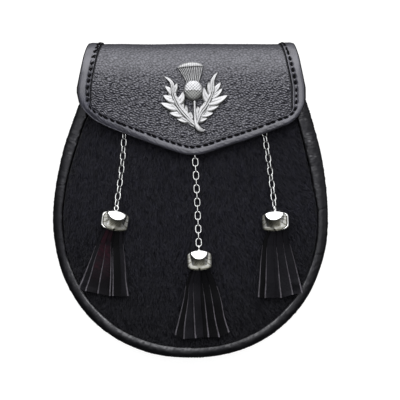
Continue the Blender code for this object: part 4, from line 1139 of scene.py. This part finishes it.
# the thistle badge: x and y are from the middle of the thistle's round head
badge = dict(
    x=1.9, y=75.9, z=42.0, headRadius=7.05, headHeight=3.4,
    # the tuft's rows: y, left and right end, height; and how many strands it has at its top and its foot
    tuft=((3.8, -5.2, 4.4, 2.9), (6.4, -5.4, 4.4, 3.1), (10.3, -7.6, 5.6, 3.5), (13.6, -9.4, 6.3, 3.9),
          (15.6, -10.9, 6.9, 4.1)),
    topStrands=13, footStrands=8,
    # centre lines: x, y, half width, height
    stem=((0.8, -5.5, 1.05, 1.9), (1.0, -12.0, 1.1, 2.1), (1.2, -18.0, 1.25, 2.4), (1.9, -23.0, 1.8, 2.9),
          (3.8, -26.2, 2.3, 3.0), (6.4, -27.4, 1.7, 2.3), (8.0, -27.0, 0.6, 1.6)),
    leftRib=((2.6, -25.0, 1.2, 2.7), (-3.0, -20.2, 1.0, 2.5), (-9.6, -12.6, 0.85, 2.3),
             (-13.2, -6.0, 0.75, 2.2), (-14.6, -1.0, 0.6, 2.0), (-14.9, 1.5, 0.5, 1.8)),
    rightRib=((2.4, -22.8, 1.1, 2.6), (5.4, -16.0, 1.0, 2.4), (9.2, -10.6, 0.9, 2.3), (12.4, -4.6, 0.75, 2.2),
              (13.8, 0.5, 0.6, 2.0), (14.2, 3.0, 0.5, 1.8)),
    # the leaf's web on both sides of a rib: share of the rib's length, half width
    web=((0.0, 1.0), (0.2, 2.5), (0.45, 3.0), (0.7, 2.7), (0.88, 1.3), (1.0, 0.6)),
    # lobes: x and y at the rib, x and y at the tip, width, bend of the tip, height
    blades=(
        (-14.2, -2.0, -20.7, 10.0, 3.1, -2.6, 2.1), (-13.8, -3.4, -19.7, 3.1, 4.6, -0.3, 1.6),
        (-12.6, -7.4, -20.8, -3.2, 5.6, 0.6, 1.9), (-9.4, -12.2, -22.6, -8.3, 5.8, 1.1, 1.7),
        (-6.4, -16.6, -16.6, -15.2, 5.0, 0.8, 1.9), (-2.6, -20.6, -12.0, -18.8, 4.4, 0.8, 1.7),
        (-14.0, -2.0, -11.1, 5.7, 3.8, -0.6, 1.5), (-11.8, -9.4, -7.0, -0.1, 5.6, -1.9, 1.7),
        (-8.2, -14.4, -7.4, -7.2, 4.4, -0.3, 1.5), (-5.4, -17.0, -4.9, -9.6, 3.8, -0.4, 1.6),
        (-2.2, -20.6, -2.2, -14.0, 4.6, 0.2, 1.4),
        (13.8, -0.6, 17.3, 13.1, 3.3, 2.0, 2.1), (13.4, -1.6, 19.0, 5.9, 4.2, -0.5, 1.6),
        (13.0, -4.8, 20.1, 1.5, 4.6, -0.6, 1.8), (10.6, -9.0, 23.9, -3.0, 5.8, -1.1, 2.0),
        (8.2, -12.6, 18.4, -9.6, 5.4, -0.8, 1.7), (5.4, -16.8, 13.9, -15.2, 4.6, -0.7, 1.9),
        (3.0, -20.6, 10.8, -17.5, 4.2, -0.8, 1.7), (13.0, -2.8, 10.7, 6.4, 5.4, 0.7, 1.6),
        (10.6, -8.4, 7.2, 2.9, 5.0, 1.2, 1.8), (8.0, -12.8, 8.0, -7.7, 4.6, 0.4, 1.5),
        (4.2, -18.6, 3.0, -10.7, 5.6, 0.4, 1.6)),
)


def smoothLine(table, count):
    # a Catmull-Rom curve through a table's rows
    keys = np.array(table, float)
    padded = np.concatenate([[2 * keys[0] - keys[1]], keys, [2 * keys[-1] - keys[-2]]])
    at = np.linspace(0, len(keys) - 1.0001, count)
    i = at.astype(int)
    t = (at - i)[:, None]
    a, b, c, d = (padded[i + k] for k in range(4))
    curve = 2 * b + (c - a) * t + (2 * a - 5 * b + 4 * c - d) * t ** 2 + (3 * b - a - 3 * c + d) * t ** 3
    return 0.5 * curve


def ridgeOver(top, hollow):
    # closes a relief, given as rows of points, with straight sides down to the badge's flat back
    feet = top[:, [0, -1]] * (1, 1, 0)
    dark = np.full((len(top), 1), 0.9)
    points, faces = lofted(np.concatenate([feet[:, :1], top, feet[:, 1:]], 1))
    return points, faces, np.concatenate([dark, hollow, dark], 1).ravel()


def ridgeAlong(line, across, heightsAt):
    # a ridge along a line of x, y and half width: heightsAt takes the share along it and the place across
    # it, and gives its height and how dark it is painted, for patina and for painted shade
    u = np.linspace(-1, 1, across)[None, :]
    along = unit(np.gradient(line[:, :2], axis=0))
    side = np.stack([-along[:, 1], along[:, 0]], -1)
    height, hollow = heightsAt(np.linspace(0, 1, len(line))[:, None], u)
    flat = line[:, None, :2] + side[:, None, :] * (u * line[:, 2:3])[..., None]
    return ridgeOver(np.concatenate([flat, height[..., None]], -1), hollow)


def ribShape(table):
    line = smoothLine(table, 60)

    def heightsAt(t, u):
        body = (1 - np.abs(u) ** 2.6) ** 0.5
        height = line[:, 3:4] * (0.45 + 0.55 * body) + 0.35 * body
        return height, 0.9 * smoothStep(0.6, 0.95, np.abs(u)) + 0 * t

    return ridgeAlong(line, 17, heightsAt)


def webShape(table):
    # the thin leaf that joins the lobes, with a dark groove beside the rib
    line = smoothLine(table, 60)
    places = np.array(badge["web"])
    share = np.linspace(0, 1, len(line))
    line[:, 2] = np.interp(share, places[:, 0], places[:, 1]) * (1 + 0.12 * np.sin(share * 26))

    def heightsAt(t, u):
        below = 0.1 + 0.45 * u ** 2 - 0.1 * np.cos(u * 9 - t * 30) + 0.3 * smoothStep(0.9, 1.0, t)
        dark = 0.9 * hill(np.abs(u), 0.3, 0.07) + 0.3 * smoothStep(0.9, 1.0, np.abs(u))
        return line[:, 3:4] - below, np.clip(dark + 0 * t, 0, 1)

    return ridgeAlong(line, 21, heightsAt)


def bladeShape(baseX, baseY, tipX, tipY, width, bend, lift):
    base, tip = np.array((baseX, baseY)), np.array((tipX, tipY))
    along = tip - base
    length = np.linalg.norm(along)
    across = np.array((-along[1], along[0])) / length
    t = np.linspace(0, 1, 26)
    middle = base + along * t[:, None] + across * (bend * np.sin(math.pi * t))[:, None]
    # widest a third of the way up, and drawn to a point
    foot = 0.7 + 0.3 * smoothStep(0.0, 0.38, t)
    half = np.maximum(width * 0.49 * foot * (1 - np.clip((t - 0.3) / 0.7, 0, 1) ** 2), 0.05)
    line = np.column_stack([middle, half])
    upward = 1.0 if across[1] > 0 else -1.0

    def heightsAt(t, u):
        # a crest along the lower side, so that most of the leaf leans up, and a groove along its middle
        v = u * upward
        crest = np.where(v > -0.45, 1 - (v + 0.45) / 1.45, 1 - (-0.45 - v) / 0.55 * 0.9)
        groove = hill(v, 0.22, 0.1) * (1 - t)
        wave = 0.06 * np.sin((t * length / 1.9 - v * 0.6) * fullTurn) * (1 - t)
        free = smoothStep(0.15, 0.65, t)  # the lobes part from each other toward their tips
        height = (lift + (0.35 + 0.5 * free) * crest - 0.3 * groove + wave) * (1 - 0.5 * t ** 2)
        # the steep lower side is painted dark as shade; the groove and the upper edge are dark lines as well
        dark = 0.5 * groove + (1.05 * smoothStep(-0.5, -0.9, v) + 0.5 * (v > 0.93)) * (0.3 + 0.7 * free)
        return height, np.clip(dark * (1 - 0.4 * t), 0, 1)

    return ridgeAlong(line, 23, heightsAt)


def headShape():
    # an egg: raised bracts on its upper half, painted light; its lower half finely pitted and painted as
    # shade
    turns = np.linspace(0, fullTurn, 97)[:-1]
    rows, shades = [], []
    for level in np.linspace(0, 1, 64)[:-1]:
        radius = badge["headRadius"] * math.cos(level * math.pi / 2) ** 0.62
        height = badge["headHeight"] * math.sin(level * math.pi / 2) ** 0.7 + 0.6 * min(level * 9, 1)
        x, y = radius * 0.97 * np.cos(turns), radius * 1.06 * np.sin(turns)
        lattice = np.cos(x * 2.9) * np.cos(y * 2.9)
        lower = smoothStep(0.5, -0.9, y + 0.03 * x ** 2 + 0.35 * lattice)
        relief = (0.16 - 0.07 * lower) * lattice
        step = 0.16 * (1 - lower)
        on = min(level * 6, 1)
        rows.append(np.stack([x, y, height + (relief + step) * on], -1))
        seam = 0.3 * hill(y, -0.25, 0.35)
        pits = np.clip(-0.55 * lattice, 0, 1)
        shades.append(pits * 0.3 + 0.3 * lower + seam - 0.06 * (1 - lower))
    points, faces = lofted(np.stack(rows))
    return points, faces, np.clip(np.concatenate(shades), -0.12, 1)


def tuftShape():
    # strands that fan up from the head, cut off in a flat oval brush
    table = smoothLine(badge["tuft"], 24)
    share = np.linspace(0, 1, badge["topStrands"] * 8 + 1)
    oval = (1 - (2 * share - 1) ** 2) ** 0.5
    topStrand = np.abs(np.sin(share * math.pi * badge["topStrands"])) ** 0.42
    footStrand = np.abs(np.sin(share * math.pi * badge["footStrands"])) ** 0.5
    sections, shades = [], []
    for row, (y, left, right, height) in enumerate(table):
        spread = row / (len(table) - 1)
        blend = smoothStep(0.3, 0.7, spread)
        strand = topStrand * blend + footStrand * (1 - blend)
        x = left + (right - left) * share
        sections.append(np.stack([x, y + (0.5 * oval + 0.07 * x) * spread ** 2,
                                  height * (0.7 + 0.3 * oval) - 0.65 * (1 - strand)], -1))
        shades.append(np.clip(1.9 * (1 - strand) - 0.5 + 0.4 * smoothStep(0.88, 1.0, spread), 0, 1))
    # the brush: a shallow rim, then a bright oval that faces up
    last = sections[-1]
    for lift, out, dark in ((0.3, 0.1, 0.2), (0.45, 0.5, 0.0), (0.4, 1.6, 0.0), (0.1, 2.7, 0.05),
                            (-0.6, 3.2, 0.2)):
        crown = last.copy()
        crown[:, 1] = last[:, 1] + out * oval + 0.2
        crown[:, 2] = badge["tuft"][-1][3] * (0.62 + 0.38 * oval) + lift - 0.15 * (1 - strand)
        sections.append(crown)
        shades.append(np.full(len(share), dark) + 0.25 * (1 - strand))
    return ridgeOver(np.stack(sections), np.stack(shades))


def makeBadge():
    shapes = [ribShape(badge[key]) for key in ("stem", "leftRib", "rightRib")]
    shapes += [webShape(badge[key]) for key in ("leftRib", "rightRib")]
    shapes += [bladeShape(*blade) for blade in badge["blades"]]
    shapes += [headShape(), tuftShape()]
    points, faces = joined([shape[:2] for shape in shapes])
    hollow = np.concatenate([shape[2] for shape in shapes])
    points = points + (badge["x"], badge["y"], badge["z"])
    newPiece("thistleBadge", points, faces, [pewterLook], "cast_badge", ["thistle_badge"], sharpAngle=50,
             hollow=hollow)
    print("badge:", len(points), "points")


makeBadge()


# the chains: oval links of round wire, each where its CAD link is
chain = dict(length=6.5, width=4.5, wire=0.82, pathSteps=28, sides=10, tarnish=0.3)


def ovalLink():
    turns = np.arange(chain["pathSteps"]) * fullTurn / chain["pathSteps"]
    radius = (chain["width"] - chain["wire"]) / 2
    straight = (chain["length"] - chain["width"]) / 2
    shift = straight * np.sign(np.sin(turns)) * np.minimum(np.abs(np.sin(turns)) * 3, 1)
    path = np.stack([radius * np.cos(turns), radius * np.sin(turns) + shift, 0 * turns], -1)
    return tube(path, chain["wire"] / 2, chain["sides"], closed=True)


def cadLink(name):
    # the middle of a CAD link, and its width, length and thickness as directions
    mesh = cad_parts[name].data
    corners = np.empty(len(mesh.vertices) * 3)
    mesh.vertices.foreach_get("co", corners)
    corners = corners.reshape(-1, 3) / mm
    middle = (corners.min(0) + corners.max(0)) / 2
    longest, second, shortest = np.linalg.svd(corners - middle, full_matrices=False)[2]
    return middle, (second, longest, shortest)


def makeChains():
    link = ovalLink()
    for side in ("left", "centre", "right"):
        names = sorted(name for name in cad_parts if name.startswith(f"chain_{side}_"))
        places, turns = zip(*(cadLink(name) for name in names))
        points, faces = copies(*link, np.array(places), np.array(turns))
        newPiece(f"chain{side.capitalize()}", points, faces, [silverLook], "silver_plate", names,
                 tarnish=np.full(len(points), chain["tarnish"]))


makeChains()
print("chains made")


# the tassels: a stamped cap with its ring, and leather strips that fan out of it
cap = dict(height=13.6, pillow=2.6, socket=6.0, edgeTop=4.2, edgeMouth=6.6, taper=0.2, taperMouth=0.06,
           archTop=0.27, archMouth=0.2, ring=1.7, wire=0.8, collar=((-0.5, 1.9), (0.1, 1.6), (0.5, 1.0)))
# the stamped face of a cap, over which x and y run from -1 to 1
capFace = dict(facetY=0.12, facetArch=(0.75, 1.3), facetFall=0.72, bowlDepth=1.25, lipY=-0.56, lipPeak=0.17,
               lipHeight=0.26, fluteDepth=0.09, seamX=-0.02, seamDepth=0.3, rimHeight=0.12)
# cap centre x and y, lean and roll in degrees, cap's width, side of its rolled rim, turn of the ring;
# cuts: x of each strip's cut edge at the neck and at its tip, and the tip's y, from the cap's centre;
# proud: the side of each strip that lies over its neighbour, so that its cut edge shows;
# looks: each strip's leather, 0 black, 2 oxblood, 3 the deepest black, while 1 is for cut edges
tassels = dict(
    left=dict(x=-52.3, y=-13.4, lean=-9, roll=15, width=19.4, rim=-1, ringTurn=-30, seed=81, proud="LLLLLR",
              looks="022330",
              cuts=((-12.1, -24.9, -46.8), (-9.6, -20.4, -48.4), (-6.0, -11.9, -50.2), (-2.6, -3.7, -51.8),
                    (-1.1, -1.6, -51.8), (3.2, 4.8, -52.4), (5.9, 9.9, -51.8))),
    centre=dict(x=6.1, y=-40.6, lean=2, roll=0, width=17.0, rim=0, ringTurn=90, seed=82, proud="LLLRRR",
                looks="300333",
                cuts=((-8.8, -17.0, -51.3), (-7.0, -11.2, -54.3), (-4.4, -3.1, -53.8), (0.8, 3.0, -53.1),
                      (2.1, 6.9, -53.1), (6.6, 14.2, -53.1), (11.0, 20.8, -49.5))),
    right=dict(x=58.6, y=-13.7, lean=4, roll=-15, width=19.2, rim=1, ringTurn=84, seed=83, proud="LLRRR",
               looks="30000",
               cuts=((-8.8, -12.3, -52.3), (-6.1, -7.7, -52.9), (-1.5, -0.3, -52.9), (0.4, 4.3, -52.9),
                     (5.5, 12.2, -50.5), (9.6, 18.6, -49.3))),
)
fringe = dict(mouthHalf=6.4, neckY=-15.0, steps=12, thick=1.1, tuck=1.1, proud=1.6, crown=1.1, drop=1.5,
              lift=1.0, tipLift=1.6, edge=(0.28, 0.85), hiddenEdge=0.1,
              # a strip's sides, and which of them are its left and its right cut edge
              sides=9, leftCut=1, rightCut=5)


def capFrame(tassel):
    # the middle of a cap, which rests on the fur, and how it is turned
    x, y = tassel["x"], tassel["y"]
    z = float(panelZ(np.array(x), np.array(y))) + seamGap + cap["edgeMouth"] / 2 + cap["pillow"]
    return np.array((x, y, z)), turnAbout("Z", tassel["lean"]) @ turnAbout("Y", tassel["roll"])


def capHalf(level, width):
    taper = np.where(level > 0, cap["taper"], cap["taperMouth"])
    return width / 2 * (1 - taper * np.abs(level) ** 4)


def capY(share, level):
    # both ends are arched
    arch = np.where(level > 0, cap["archTop"], cap["archMouth"])
    return level * (1 - arch * share ** 2 * np.abs(level) ** 1.5) * cap["height"] / 2


def capEdge(level):
    return (cap["edgeTop"] + cap["edgeMouth"]) / 2 + (cap["edgeTop"] - cap["edgeMouth"]) / 2 * level


def capRelief(x, y, rimSide):
    # a D-shaped facet above, a bowl under it, fluted sides and a flared lip with a folded seam;
    # gives the height, and how dark the plate is from tarnish and painted shade
    fromFacet = x - 0.06 * (rimSide == -1)
    arch, steepArch = capFace["facetArch"]
    facetY = np.minimum(capFace["facetY"] + arch * fromFacet ** 2 + steepArch * fromFacet ** 4, 1.0)
    below = np.maximum(facetY - y, 0)
    drop = (capFace["bowlDepth"] - 0.2 * smoothStep(0.3, 0.65, np.abs(x))) * below / (1 + 0.9 * below)
    height = 1 - capFace["facetFall"] * (np.maximum(y, facetY) + 0.02) / 1.02 - drop
    peak = hill(x, capFace["seamX"], 0.09)
    lip = smoothStep(0.04, -0.06, y - (capFace["lipY"] + capFace["lipPeak"] * peak - 0.06 * np.abs(x)))
    lipHeight = capFace["lipHeight"] + 0.1 * peak - 0.1 * smoothStep(-0.88, -1.0, y) - 0.1 * x ** 2
    height = height * (1 - lip) + np.maximum(height, lipHeight) * lip
    side = smoothStep(0.4, 0.6, np.abs(x)) * smoothStep(0.06, 0.2, below) * (1 - lip)
    turn = np.arctan2(y - 0.35, np.abs(x))
    flutes = smoothStep(0.6, 1.0, np.sin(turn * 15 + np.sign(x)))
    seam = hill(x, capFace["seamX"], 0.035) * smoothStep(-0.8, -0.9, y)
    height = np.maximum(height - capFace["fluteDepth"] * flutes * side, 0.03) - capFace["seamDepth"] * seam
    # the outer side of a turned cap shows its rolled rim behind a groove, painted dark as shade
    out = (np.abs(x) ** 5 + np.abs(y) ** 5) ** 0.2
    outer = (np.sign(x) == rimSide) * smoothStep(0.45, 0.7, np.abs(x))
    rim = smoothStep(0.9, 0.925, out) * (1 - smoothStep(0.985, 1.0, out)) * outer
    groove = hill(out, 0.87, 0.022) * outer * smoothStep(0.0, 0.1, below)
    height = height + capFace["rimHeight"] * (rim - groove)
    # painted shade on the rolled top edge, bowl, fluted sides and lip; the facet is darker to its right
    facet = 1 - smoothStep(0.0, 0.1, below)
    bowl = smoothStep(0.0, 0.05, below) * (1 - lip) * (1 - smoothStep(0.36, 0.58, np.abs(x)))
    spots = 0.12 * np.sin(x * 31 + 9 * y) * np.sin(y * 27 - 5 * x)
    tarnish = 0.4 * smoothStep(0.8, 0.96, y) + 0.32 * smoothStep(0.3, 0.75, x) * facet
    tarnish = tarnish + (0.84 + spots) * bowl + (0.55 + 0.35 * flutes) * side
    tarnish = tarnish + (0.62 + 0.1 * peak + 0.16 * smoothStep(-0.72, -0.92, y)) * lip
    return height, np.clip(tarnish * (1 - rim) + 0.8 * seam + 0.55 * groove, 0, 1)


def capShell(tassel):
    # a cushion, open below, as rings from its top down to its mouth and up inside it
    share = np.sin(np.linspace(-math.pi / 2, math.pi / 2, 65))
    rounding = (1 - np.abs(share) ** 8) ** 0.5
    rings, shades = [], []
    for level in share[::-1]:
        x, y = capHalf(level, tassel["width"]) * share, capY(share, level)
        wall = capEdge(level) / 2 * (0.55 + 0.45 * rounding) * (1 - 0.25 * smoothStep(0.93, 1, level))
        relief, dark = capRelief(share, level, tassel["rim"])
        inward = np.maximum(1 - (share ** 4 + level ** 4) ** 0.25, 0)
        front = np.stack([x, y, wall + cap["pillow"] * relief * rounding], -1)
        rear = np.stack([x, y, -(wall + cap["pillow"] * inward ** 0.7)], -1)[::-1]
        rings.append(np.concatenate([front, rear]))
        shades.append(np.concatenate([dark, 0 * dark]))
    mouth = rings[-1]
    # the inside of the mouth is painted dark, as shade
    for shrink, rise in ((0.93, -0.02), (0.86, 0.3), (0.84, cap["socket"])):
        rings.append(mouth * (shrink, 1, shrink) + (0, rise, 0))
        shades.append(np.full(len(mouth), 0.9))
    return lofted(np.stack(rings)), np.concatenate(shades)


def makeCap(side, tassel):
    shell, dark = capShell(tassel)
    topY = cap["height"] / 2
    turns = np.arange(28) * fullTurn / 28
    circle = np.stack([0.8 * cap["ring"] * np.cos(turns), cap["ring"] * np.sin(turns), 0 * turns], -1)
    circle = circle @ turnAbout("Y", tassel["ringTurn"]).T + (0, topY + cap["ring"], 0)
    ring = tube(circle, cap["wire"] / 2, 10, closed=True)
    collar = tube([(0, topY + rise, 0) for rise, radius in cap["collar"]],
                  [radius for rise, radius in cap["collar"]], 18)
    points, faces = joined([shell, ring, collar])
    place, spin = capFrame(tassel)
    tarnish = np.zeros(len(points))
    tarnish[:len(dark)] = dark
    newPiece(f"tasselCap{side.capitalize()}", points @ spin.T + place, faces, [silverLook], "silver_plate",
             [f"tassel_cap_{side}"], sharpAngle=50, tarnish=tarnish)


def frontSurface(x, y):
    # top of the fur, or of the welt near the pouch's edge
    away, width = fromOutline(x, y)
    over = smoothStep(4.0, 1.0, away - width)
    fall = smoothStep(-1.0, 3.0, away)
    weltTop = frontWelt["z"] + frontWelt["height"] / 2 * fall
    return panelZ(x, y) * (1 - over) + np.maximum(panelZ(x, y), weltTop) * over


def fringeLines(tassel, place, dice):
    # the cuts between the strips run from inside the cap through the neck to the tips
    lean = turnAbout("Z", tassel["lean"])
    cuts = np.array(tassel["cuts"])
    fromMiddle = cuts[:, 0] - cuts[:, 0].mean()
    shares = fromMiddle / np.abs(fromMiddle).max()
    mouthY = -cap["height"] / 2
    lines = []
    for (neckX, tipX, tipY), share in zip(cuts, shares):
        mouthX = share * fringe["mouthHalf"]
        starts = np.array(((mouthX, mouthY + 2.5, 0), (mouthX * 1.06, mouthY - 0.5, 0))) @ lean.T
        neck, tip = np.array((neckX, fringe["neckY"])), np.array((tipX, tipY))
        sway = dice.normal(0, 0.3, 2)
        keys = [starts[0, :2], starts[1, :2], neck, neck + (tip - neck) * 0.35 + (sway[0], 0),
                neck + (tip - neck) * 0.7 + (sway[1], 0), tip]
        lines.append(smoothLine(keys, 5 * fringe["steps"] + 1))
    return np.stack(lines) + place[:2], shares


def fringeHeights(lines, shares, run, place, seed):
    # the cuts' heights: they fall out of the cap and lie on the fur, raised along the middle and at the tips
    down = place[1] - cap["height"] / 2 - lines[..., 1]
    lying = frontSurface(lines[..., 0].ravel(), lines[..., 1].ravel()).reshape(down.shape) + fringe["lift"]
    falling = place[2] - 1.6 - fringe["drop"] * np.clip(down / 5.0, 0, None)
    crown = fringe["crown"] * np.sqrt(np.maximum(1 - shares ** 2, 0))[:, None] * (1 - run)
    base = (lying + falling + np.hypot(lying - falling, 2.2)) / 2 + crown + fringe["tipLift"] * run ** 1.5
    return base + 0.4 * ripples(down, shares[:, None] * 15, 17, seed) * run


def stripBetween(left, right, leftRise, rightRise, edges, thick):
    # a slab of leather between two lines; edges are the widths of its two bevelled cut edges
    width = np.linalg.norm(right - left, axis=1)
    leftCut, rightCut = edges[0] / width, 1 - edges[1] / width
    section = ((0, 0.0), (0, 0.4), (leftCut, 1.0), (0.33, 1.12), (0.67, 1.12), (rightCut, 1.0), (1, 0.4),
               (1, 0.0), (0.5, 0.12))
    rings = []
    for across, height in section:
        across = np.broadcast_to(across, width.shape)
        flat = left + (right - left) * across[:, None]
        rings.append(np.column_stack([flat, leftRise + (rightRise - leftRise) * across + thick * height]))
    return lofted(np.stack(rings, 1))


def makeFringe(side, tassel):
    dice = np.random.default_rng(tassel["seed"])
    place = capFrame(tassel)[0]
    lines, shares = fringeLines(tassel, place, dice)
    run = np.clip((np.linspace(0, 1, lines.shape[1]) - 0.4) / 0.6, 0, 1)  # 0 at the neck, 1 at the tips
    base = fringeHeights(lines, shares, run, place, tassel["seed"])
    settle = smoothStep(0.0, 0.5, run)
    bevel = fringe["edge"][0] + (fringe["edge"][1] - fringe["edge"][0]) * smoothStep(0.0, 0.9, run)
    bevel = bevel + 0.25 * smoothStep(0.93, 0.97, run)  # the cut flares at the tip
    shapes, looks, dyes = [], [], []
    for i, proud in enumerate(tassel["proud"]):
        left, right = lines[i].copy(), lines[i + 1].copy()
        isLeft = proud == "L"
        # the side that isn't proud is tucked under the next strip
        tucked = right if isLeft else left
        tucked += unit(right - left) * ((1 if isLeft else -1) * fringe["tuck"] * settle)[:, None]
        shown = fringe["proud"] * settle * dice.uniform(0.6, 1.5) + dice.uniform(-0.3, 0.9) * run ** 2
        rises = (base[i] + shown, base[i + 1]) if isLeft else (base[i], base[i + 1] + shown)
        edges = (bevel, fringe["hiddenEdge"]) if isLeft else (fringe["hiddenEdge"], bevel)
        shape = stripBetween(left, right, *rises, edges, fringe["thick"])
        look = np.full((len(run) - 1, fringe["sides"]), int(tassel["looks"][i]))
        look[run[1:] > 0.02 + 0.1 * dice.random(), fringe["leftCut" if isLeft else "rightCut"]] = 1
        around = np.arange(fringe["sides"])[None, :] * 1.2
        specks = ripples(run[:, None] * 40, around + 20 * i, 2.2, tassel["seed"] + 9)
        dye = smoothStep(0.85, 0.15, run)[:, None] * np.clip(0.55 + 0.6 * specks, 0, 1)
        shapes.append(shape)
        looks += [look.ravel(), (0, 1)]
        dyes.append(dye.ravel())
    # a second layer fills in behind
    middles = (lines[1:] + lines[:-1]) / 2
    low = (base[1:] + base[:-1]) / 2 - 0.75 * settle - 0.3
    for i in range(len(middles) - 1):
        shown = slice(len(run) - 1 - dice.integers(0, 2))
        shape = stripBetween(middles[i, shown], middles[i + 1, shown], low[i, shown], low[i + 1, shown],
                             (0.12, 0.12), fringe["thick"] * 0.8)
        shapes.append(shape)
        looks.append(np.zeros(sum(len(block) for block in shape[1]), int))
        dyes.append(np.zeros(len(shape[0])))
    points, faces = joined(shapes)
    newPiece(f"tassel{side.capitalize()}", points, faces,
             [stripLook, cutEdgeLook, brownStripLook, deepStripLook], "tassel_leather", [f"tassel_{side}"],
             lookOf=np.concatenate(looks), sharpAngle=35, dyed=np.concatenate(dyes))


for side, tassel in tassels.items():
    makeCap(side, tassel)
    makeFringe(side, tassel)
print("tassels made")


# these hidden metal parts keep their CAD shape
for name in ("flap_stud", "chain_staple_left", "chain_staple_centre", "chain_staple_right"):
    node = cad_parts[name]
    node.data.materials.clear()
    node.data.materials.append(silverLook)


# floor, light and camera
stageSetup = dict(viewWidth=275.2, aimX=6.54, aimY=0.65, aimZ=36.0, distance=4500.0, sensor=36.0,
                  floorGlow=0.9, floorColours=("#707070", "#747474"), skyFromX=0.2, skyFromY=1.1,
                  skyStops=((0.0, 0.07), (0.3, 0.28), (0.55, 0.68), (0.9, 0.8)))
# softboxes: place in metres, size in metres, brightness where the lit floor is about 1
softboxes = dict(
    keyFromTop=((-0.08, 0.85, 0.9), (2.2, 0.95), 3.5),
    lowFromTop=((0.0, 1.5, 0.25), (2.2, 0.6), 2.6),
    overhead=((0.0, 0.1, 1.5), (1.4, 1.0), 2.7),
    fillLeft=((-1.2, 0.1, 0.55), (0.7, 0.7), 0.05),
    fillRight=((1.2, 0.1, 0.55), (0.7, 0.7), 0.5),
)


def makeFloor():
    # matt paper that glows by itself, for a white ground with hardly a shadow
    made, tree, shader = newMaterial("paperSweep", Roughness=0.95, Emission_Color="#ffffff",
                                     Emission_Strength=stageSetup["floorGlow"])
    where = addNode(tree, "TexCoord").outputs["Object"]
    noise = addNode(tree, "TexNoise", {"Vector": where, "Scale": 3.0})
    tone = addNode(tree, "ValToRGB", {"Fac": noise.outputs["Fac"]},
                   stops=tuple(zip((0.3, 0.7), stageSetup["floorColours"])))
    setSockets(tree, shader, {"Base Color": tone.outputs["Color"]})
    mesh = bpy.data.meshes.new("paperFloor")
    mesh.from_pydata([(x, y, -0.2 * mm) for x, y in ((-4, -4), (4, -4), (4, 4), (-4, 4))], [], [(0, 1, 2, 3)])
    mesh.materials.append(made)
    floor = bpy.data.objects.new("paperFloor", mesh)
    bpy.context.scene.collection.objects.link(floor)
    floor.visible_glossy = False  # so that the paper's glow doesn't light up the edges


def makeStudio():
    # a grey room, light above the flap and dark toward the pouch's foot
    world = bpy.data.worlds.new("studio")
    world.use_nodes = True
    tree = world.node_tree
    direction = addNode(tree, "TexCoord").outputs["Generated"]
    parts = addNode(tree, "SeparateXYZ", {"Vector": direction})
    tilted = addNode(tree, "Math", {0: parts.outputs["Y"], 1: stageSetup["skyFromY"], 2: parts.outputs["Z"]},
                     operation="MULTIPLY_ADD")
    total = addNode(tree, "Math", {0: parts.outputs["X"], 1: stageSetup["skyFromX"],
                                   2: tilted.outputs["Value"]}, operation="MULTIPLY_ADD")
    tone = addNode(tree, "ValToRGB", {"Fac": total.outputs["Value"]}, stops=stageSetup["skyStops"])
    setSockets(tree, tree.nodes["Background"], {"Color": tone.outputs["Color"]})
    bpy.context.scene.world = world
    for name, (place, size, level) in softboxes.items():
        light = bpy.data.lights.new(name, "AREA")
        light.shape = "RECTANGLE"
        light.size, light.size_y = size
        light.energy = level * math.pi * size[0] * size[1]
        lamp = bpy.data.objects.new(name, light)
        lamp.location = place
        lamp.rotation_euler = (Vector((0, 0, 0.03)) - Vector(place)).to_track_quat("-Z", "Y").to_euler()
        lamp.visible_camera = False
        bpy.context.scene.collection.objects.link(lamp)


def makeCamera():
    lens = bpy.data.cameras.new("camera")
    lens.sensor_width = stageSetup["sensor"]
    lens.lens = stageSetup["sensor"] * stageSetup["distance"] / stageSetup["viewWidth"]
    lens.clip_end = 100
    camera = bpy.data.objects.new("camera", lens)
    camera.location = (stageSetup["aimX"] * mm, stageSetup["aimY"] * mm,
                       (stageSetup["aimZ"] + stageSetup["distance"]) * mm)
    bpy.context.scene.collection.objects.link(camera)
    bpy.context.scene.camera = camera
    bpy.context.scene.view_settings.view_transform = "Standard"


makeFloor()
makeStudio()
makeCamera()
print("stage made")
